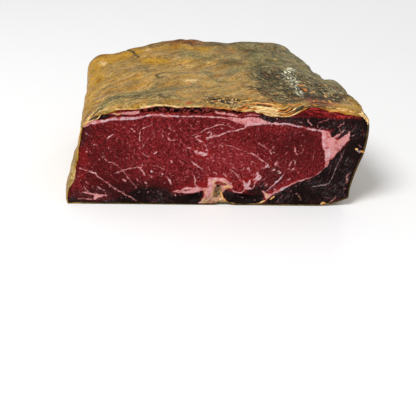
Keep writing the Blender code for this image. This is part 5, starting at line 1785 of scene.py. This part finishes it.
def outside_points(x, up, wrinkle_height):
    """Points on the outside of the block above the cut, and the way they look, in section millimetres."""
    top = curve_value(TOP_CURVE, x / CUT_WIDTH) * CUT_HEIGHT
    above = up - top
    u = (x / CUT_WIDTH - TOP_CURVE[0][0]) / (TOP_CURVE[-1][0] - TOP_CURVE[0][0])
    depth = np.maximum(above, 0.0) / VIEW_SLOPE
    on_top = block_points(u, depth / BLOCK_DEPTH, np.ones_like(u))
    on_top[:, 2] += rind_relief(on_top, wrinkle_height)
    points = np.where((above > 0.0)[:, None], on_top, on_cut(x, np.minimum(up, top)))
    share = rise(above, -0.6, 1.2)
    facing = np.array((np.zeros_like(x), share - 1.0, share)).T
    return points, facing / np.linalg.norm(facing, axis=1)[:, None]


def strand_mesh(number, half_width, half_thickness, flat, wrinkle_height):
    """One closed strand, lens-shaped across and drawn out along its path, with its fibres' coordinates."""
    path = pairs(flat)
    length = np.hypot(*np.diff(path, axis=0).T).sum()
    bm = bmesh.new()
    rings = max(8, round(length / STRAND_STEP))
    bmesh.ops.create_uvsphere(bm, u_segments=12, v_segments=rings, radius=1.0)
    mesh = outward_mesh(bm, "strand")
    ball = mesh_points(mesh)
    along = np.arccos(np.clip(ball[:, 2], -1.0, 1.0)) / math.pi
    round_part = np.maximum(np.hypot(ball[:, 0], ball[:, 1]), TINY)
    sideways, outward = ball[:, 0] / round_part, ball[:, 1] / round_part
    places = np.arange(len(path), dtype=float)
    step = 0.01

    def middle(share):
        share = np.clip(share, 0.0, 1.0) * (len(path) - 1)
        x, up = (curve_value(np.array((places, line)).T, share) for line in path.T)
        return outside_points(x, up, wrinkle_height)

    centre, facing = middle(along)
    heading = middle(along + step)[0] - middle(along - step)[0]
    heading /= np.maximum(np.linalg.norm(heading, axis=1), TINY)[:, None]
    beside = np.cross(heading, facing)
    taper = np.minimum(1.0, 1.7 * np.sin(math.pi * along)) ** 0.9
    frayed = noise_at(centre + beside * sideways[:, None], (2.4, 1.6, 1.6), (number * 3.7, 0.5, 0.9))
    width = (half_width * taper * (1.0 + (0.35 + 0.15 * half_width) * frayed) * sideways)[:, None]
    lift = half_thickness * taper * outward + 0.4 * half_thickness * taper
    set_mesh_points(mesh, to_frame(centre + beside * width + facing * lift[:, None]))
    flip_outward(mesh)
    place = (number * 7.3) % STRAND_REACH
    aside = 0.5 + (half_width * sideways + 0.3 * outward) / STRAND_REACH
    return mesh, (along * length + place) / (2.0 * STRAND_REACH), aside


class CECINA_OT_crumbs(bpy.types.Operator):
    """Build the loose crumbs of rind on the right edge and at the foot of the cut"""

    bl_idname = "cecina.crumbs"
    bl_label = "Crumbs"

    def execute(self, context):
        crumbs, tints = [], []
        for number, (*place, half_length, half_height, turn, tint) in enumerate(CRUMBS):
            bm = bmesh.new()
            bmesh.ops.create_icosphere(bm, subdivisions=4, radius=1.0)
            size = Vector((half_length, half_height * 0.6, half_height))
            for vert in bm.verts:
                rough = 1.0 + 0.35 * noise.noise(vert.co * 1.4 + Vector((number * 7.0, 0, 0)))
                rough += 0.12 * noise.noise(vert.co * 4.0 + Vector((0, number * 5.0, 0)))
                vert.co = vert.co * size * rough * MM
            bmesh.ops.rotate(bm, verts=bm.verts, cent=Vector(), matrix=Matrix.Rotation(turn, 3, "Y"))
            bmesh.ops.translate(bm, verts=bm.verts, vec=Vector(to_frame(np.array(place))))
            tints += [tint] * len(bm.verts)
            crumbs.append(new_mesh(bm, "crumb"))
        mesh = joined_mesh("crumbs", crumbs)
        points = mesh_points(mesh) / MM
        store_masks(mesh, {
            "tint": np.array(tints) + 0.3 * noise_at(points, (2.5, 2.5, 2.5), (0.6, 0.2, 0.9)),
            "along": np.abs(points[:, 0]) / STRAND_REACH / 2.0,
            "aside": points[:, 2] / STRAND_REACH,
        })
        finish_piece("crumbs", mesh, torn_material("crumbs"))
        return {"FINISHED"}


class CECINA_OT_stage(bpy.types.Operator):
    """Build the pale floor, the soft studio light and the camera"""

    bl_idname = "cecina.stage"
    bl_label = "Stage"

    def execute(self, context):
        scene = context.scene
        scene.view_settings.view_transform = "Standard"
        bm = bmesh.new()
        bmesh.ops.create_grid(bm, x_segments=1, y_segments=1, size=FLOOR_HALF_WIDTH)
        mesh = new_mesh(bm, "floor")
        material, tree, shader = new_material("pale_floor")
        floor_colour = (*settings().floor_colour, 1.0)
        set_shader(tree, shader, Base_Color=floor_colour, Roughness=0.9, Specular_IOR_Level=0.1)
        mesh.materials.append(material)
        floor = new_object("floor", mesh)

        world = bpy.data.worlds.new("studio")
        world.use_nodes = True
        background = world.node_tree.nodes["Background"]
        background.inputs["Color"].default_value = (1.0, 1.0, 1.0, 1.0)
        background.inputs["Strength"].default_value = WORLD_STRENGTH
        scene.world = world
        for name, (place, aim, size, power) in LIGHTS.items():
            light = bpy.data.lights.new(name, "AREA")
            light.shape = "DISK"
            light.size = size
            light.energy = power
            lamp = new_object(name, light)
            lamp.location = place
            lamp.rotation_euler = (Vector(aim) - Vector(place)).to_track_quat("-Z", "Y").to_euler()

        data = bpy.data.cameras.new("camera")
        data.sensor_width = 36.0
        data.lens = LENS
        data.clip_start, data.clip_end = 0.01, 50.0
        camera = new_object("camera", data)
        camera.matrix_world = camera_matrix()
        scene.camera = camera
        return {"FINISHED"}


def camera_matrix():
    """The camera's place and axes, from its angles, target and distance."""
    azimuth, elevation, roll = (math.radians(angle) for angle in CAMERA_ANGLES)
    level = math.cos(elevation)
    back = Vector((math.sin(azimuth) * level, -math.cos(azimuth) * level, math.sin(elevation)))
    right = Vector((math.cos(azimuth), math.sin(azimuth), 0.0))
    up = back.cross(right)
    turned_right = right * math.cos(roll) + up * math.sin(roll)
    turned_up = up * math.cos(roll) - right * math.sin(roll)
    axes = Matrix((turned_right, turned_up, back)).transposed().to_4x4()
    return Matrix.Translation(Vector(CAMERA_TARGET) + back * CAMERA_DISTANCE) @ axes


class CECINA_PT_panel(bpy.types.Panel):
    """Sizes, colours and pieces of the block"""

    bl_idname = "CECINA_PT_panel"
    bl_label = "Cecina"
    bl_space_type = "VIEW_3D"
    bl_region_type = "UI"
    bl_category = "Cecina"

    def draw(self, context):
        for name in CecinaSettings.__annotations__:
            self.layout.prop(settings(), name)
        for operator in OPERATORS:
            self.layout.operator(operator.bl_idname)


OPERATORS = (CECINA_OT_rind, CECINA_OT_cut_face, CECINA_OT_torn_rind, CECINA_OT_crumbs, CECINA_OT_stage)
CLASSES = (CecinaSettings, *OPERATORS, CECINA_PT_panel)


def register():
    for new_class in CLASSES:
        bpy.utils.register_class(new_class)
    bpy.types.Scene.cecina_settings = bpy.props.PointerProperty(type=CecinaSettings)


def unregister():
    del bpy.types.Scene.cecina_settings
    for old_class in reversed(CLASSES):
        bpy.utils.unregister_class(old_class)


def main():
    register()
    bpy.ops.cecina.rind()
    bpy.ops.cecina.cut_face()
    bpy.ops.cecina.torn_rind()
    bpy.ops.cecina.crumbs()
    bpy.ops.cecina.stage()


if __name__ == "__main__":
    main()
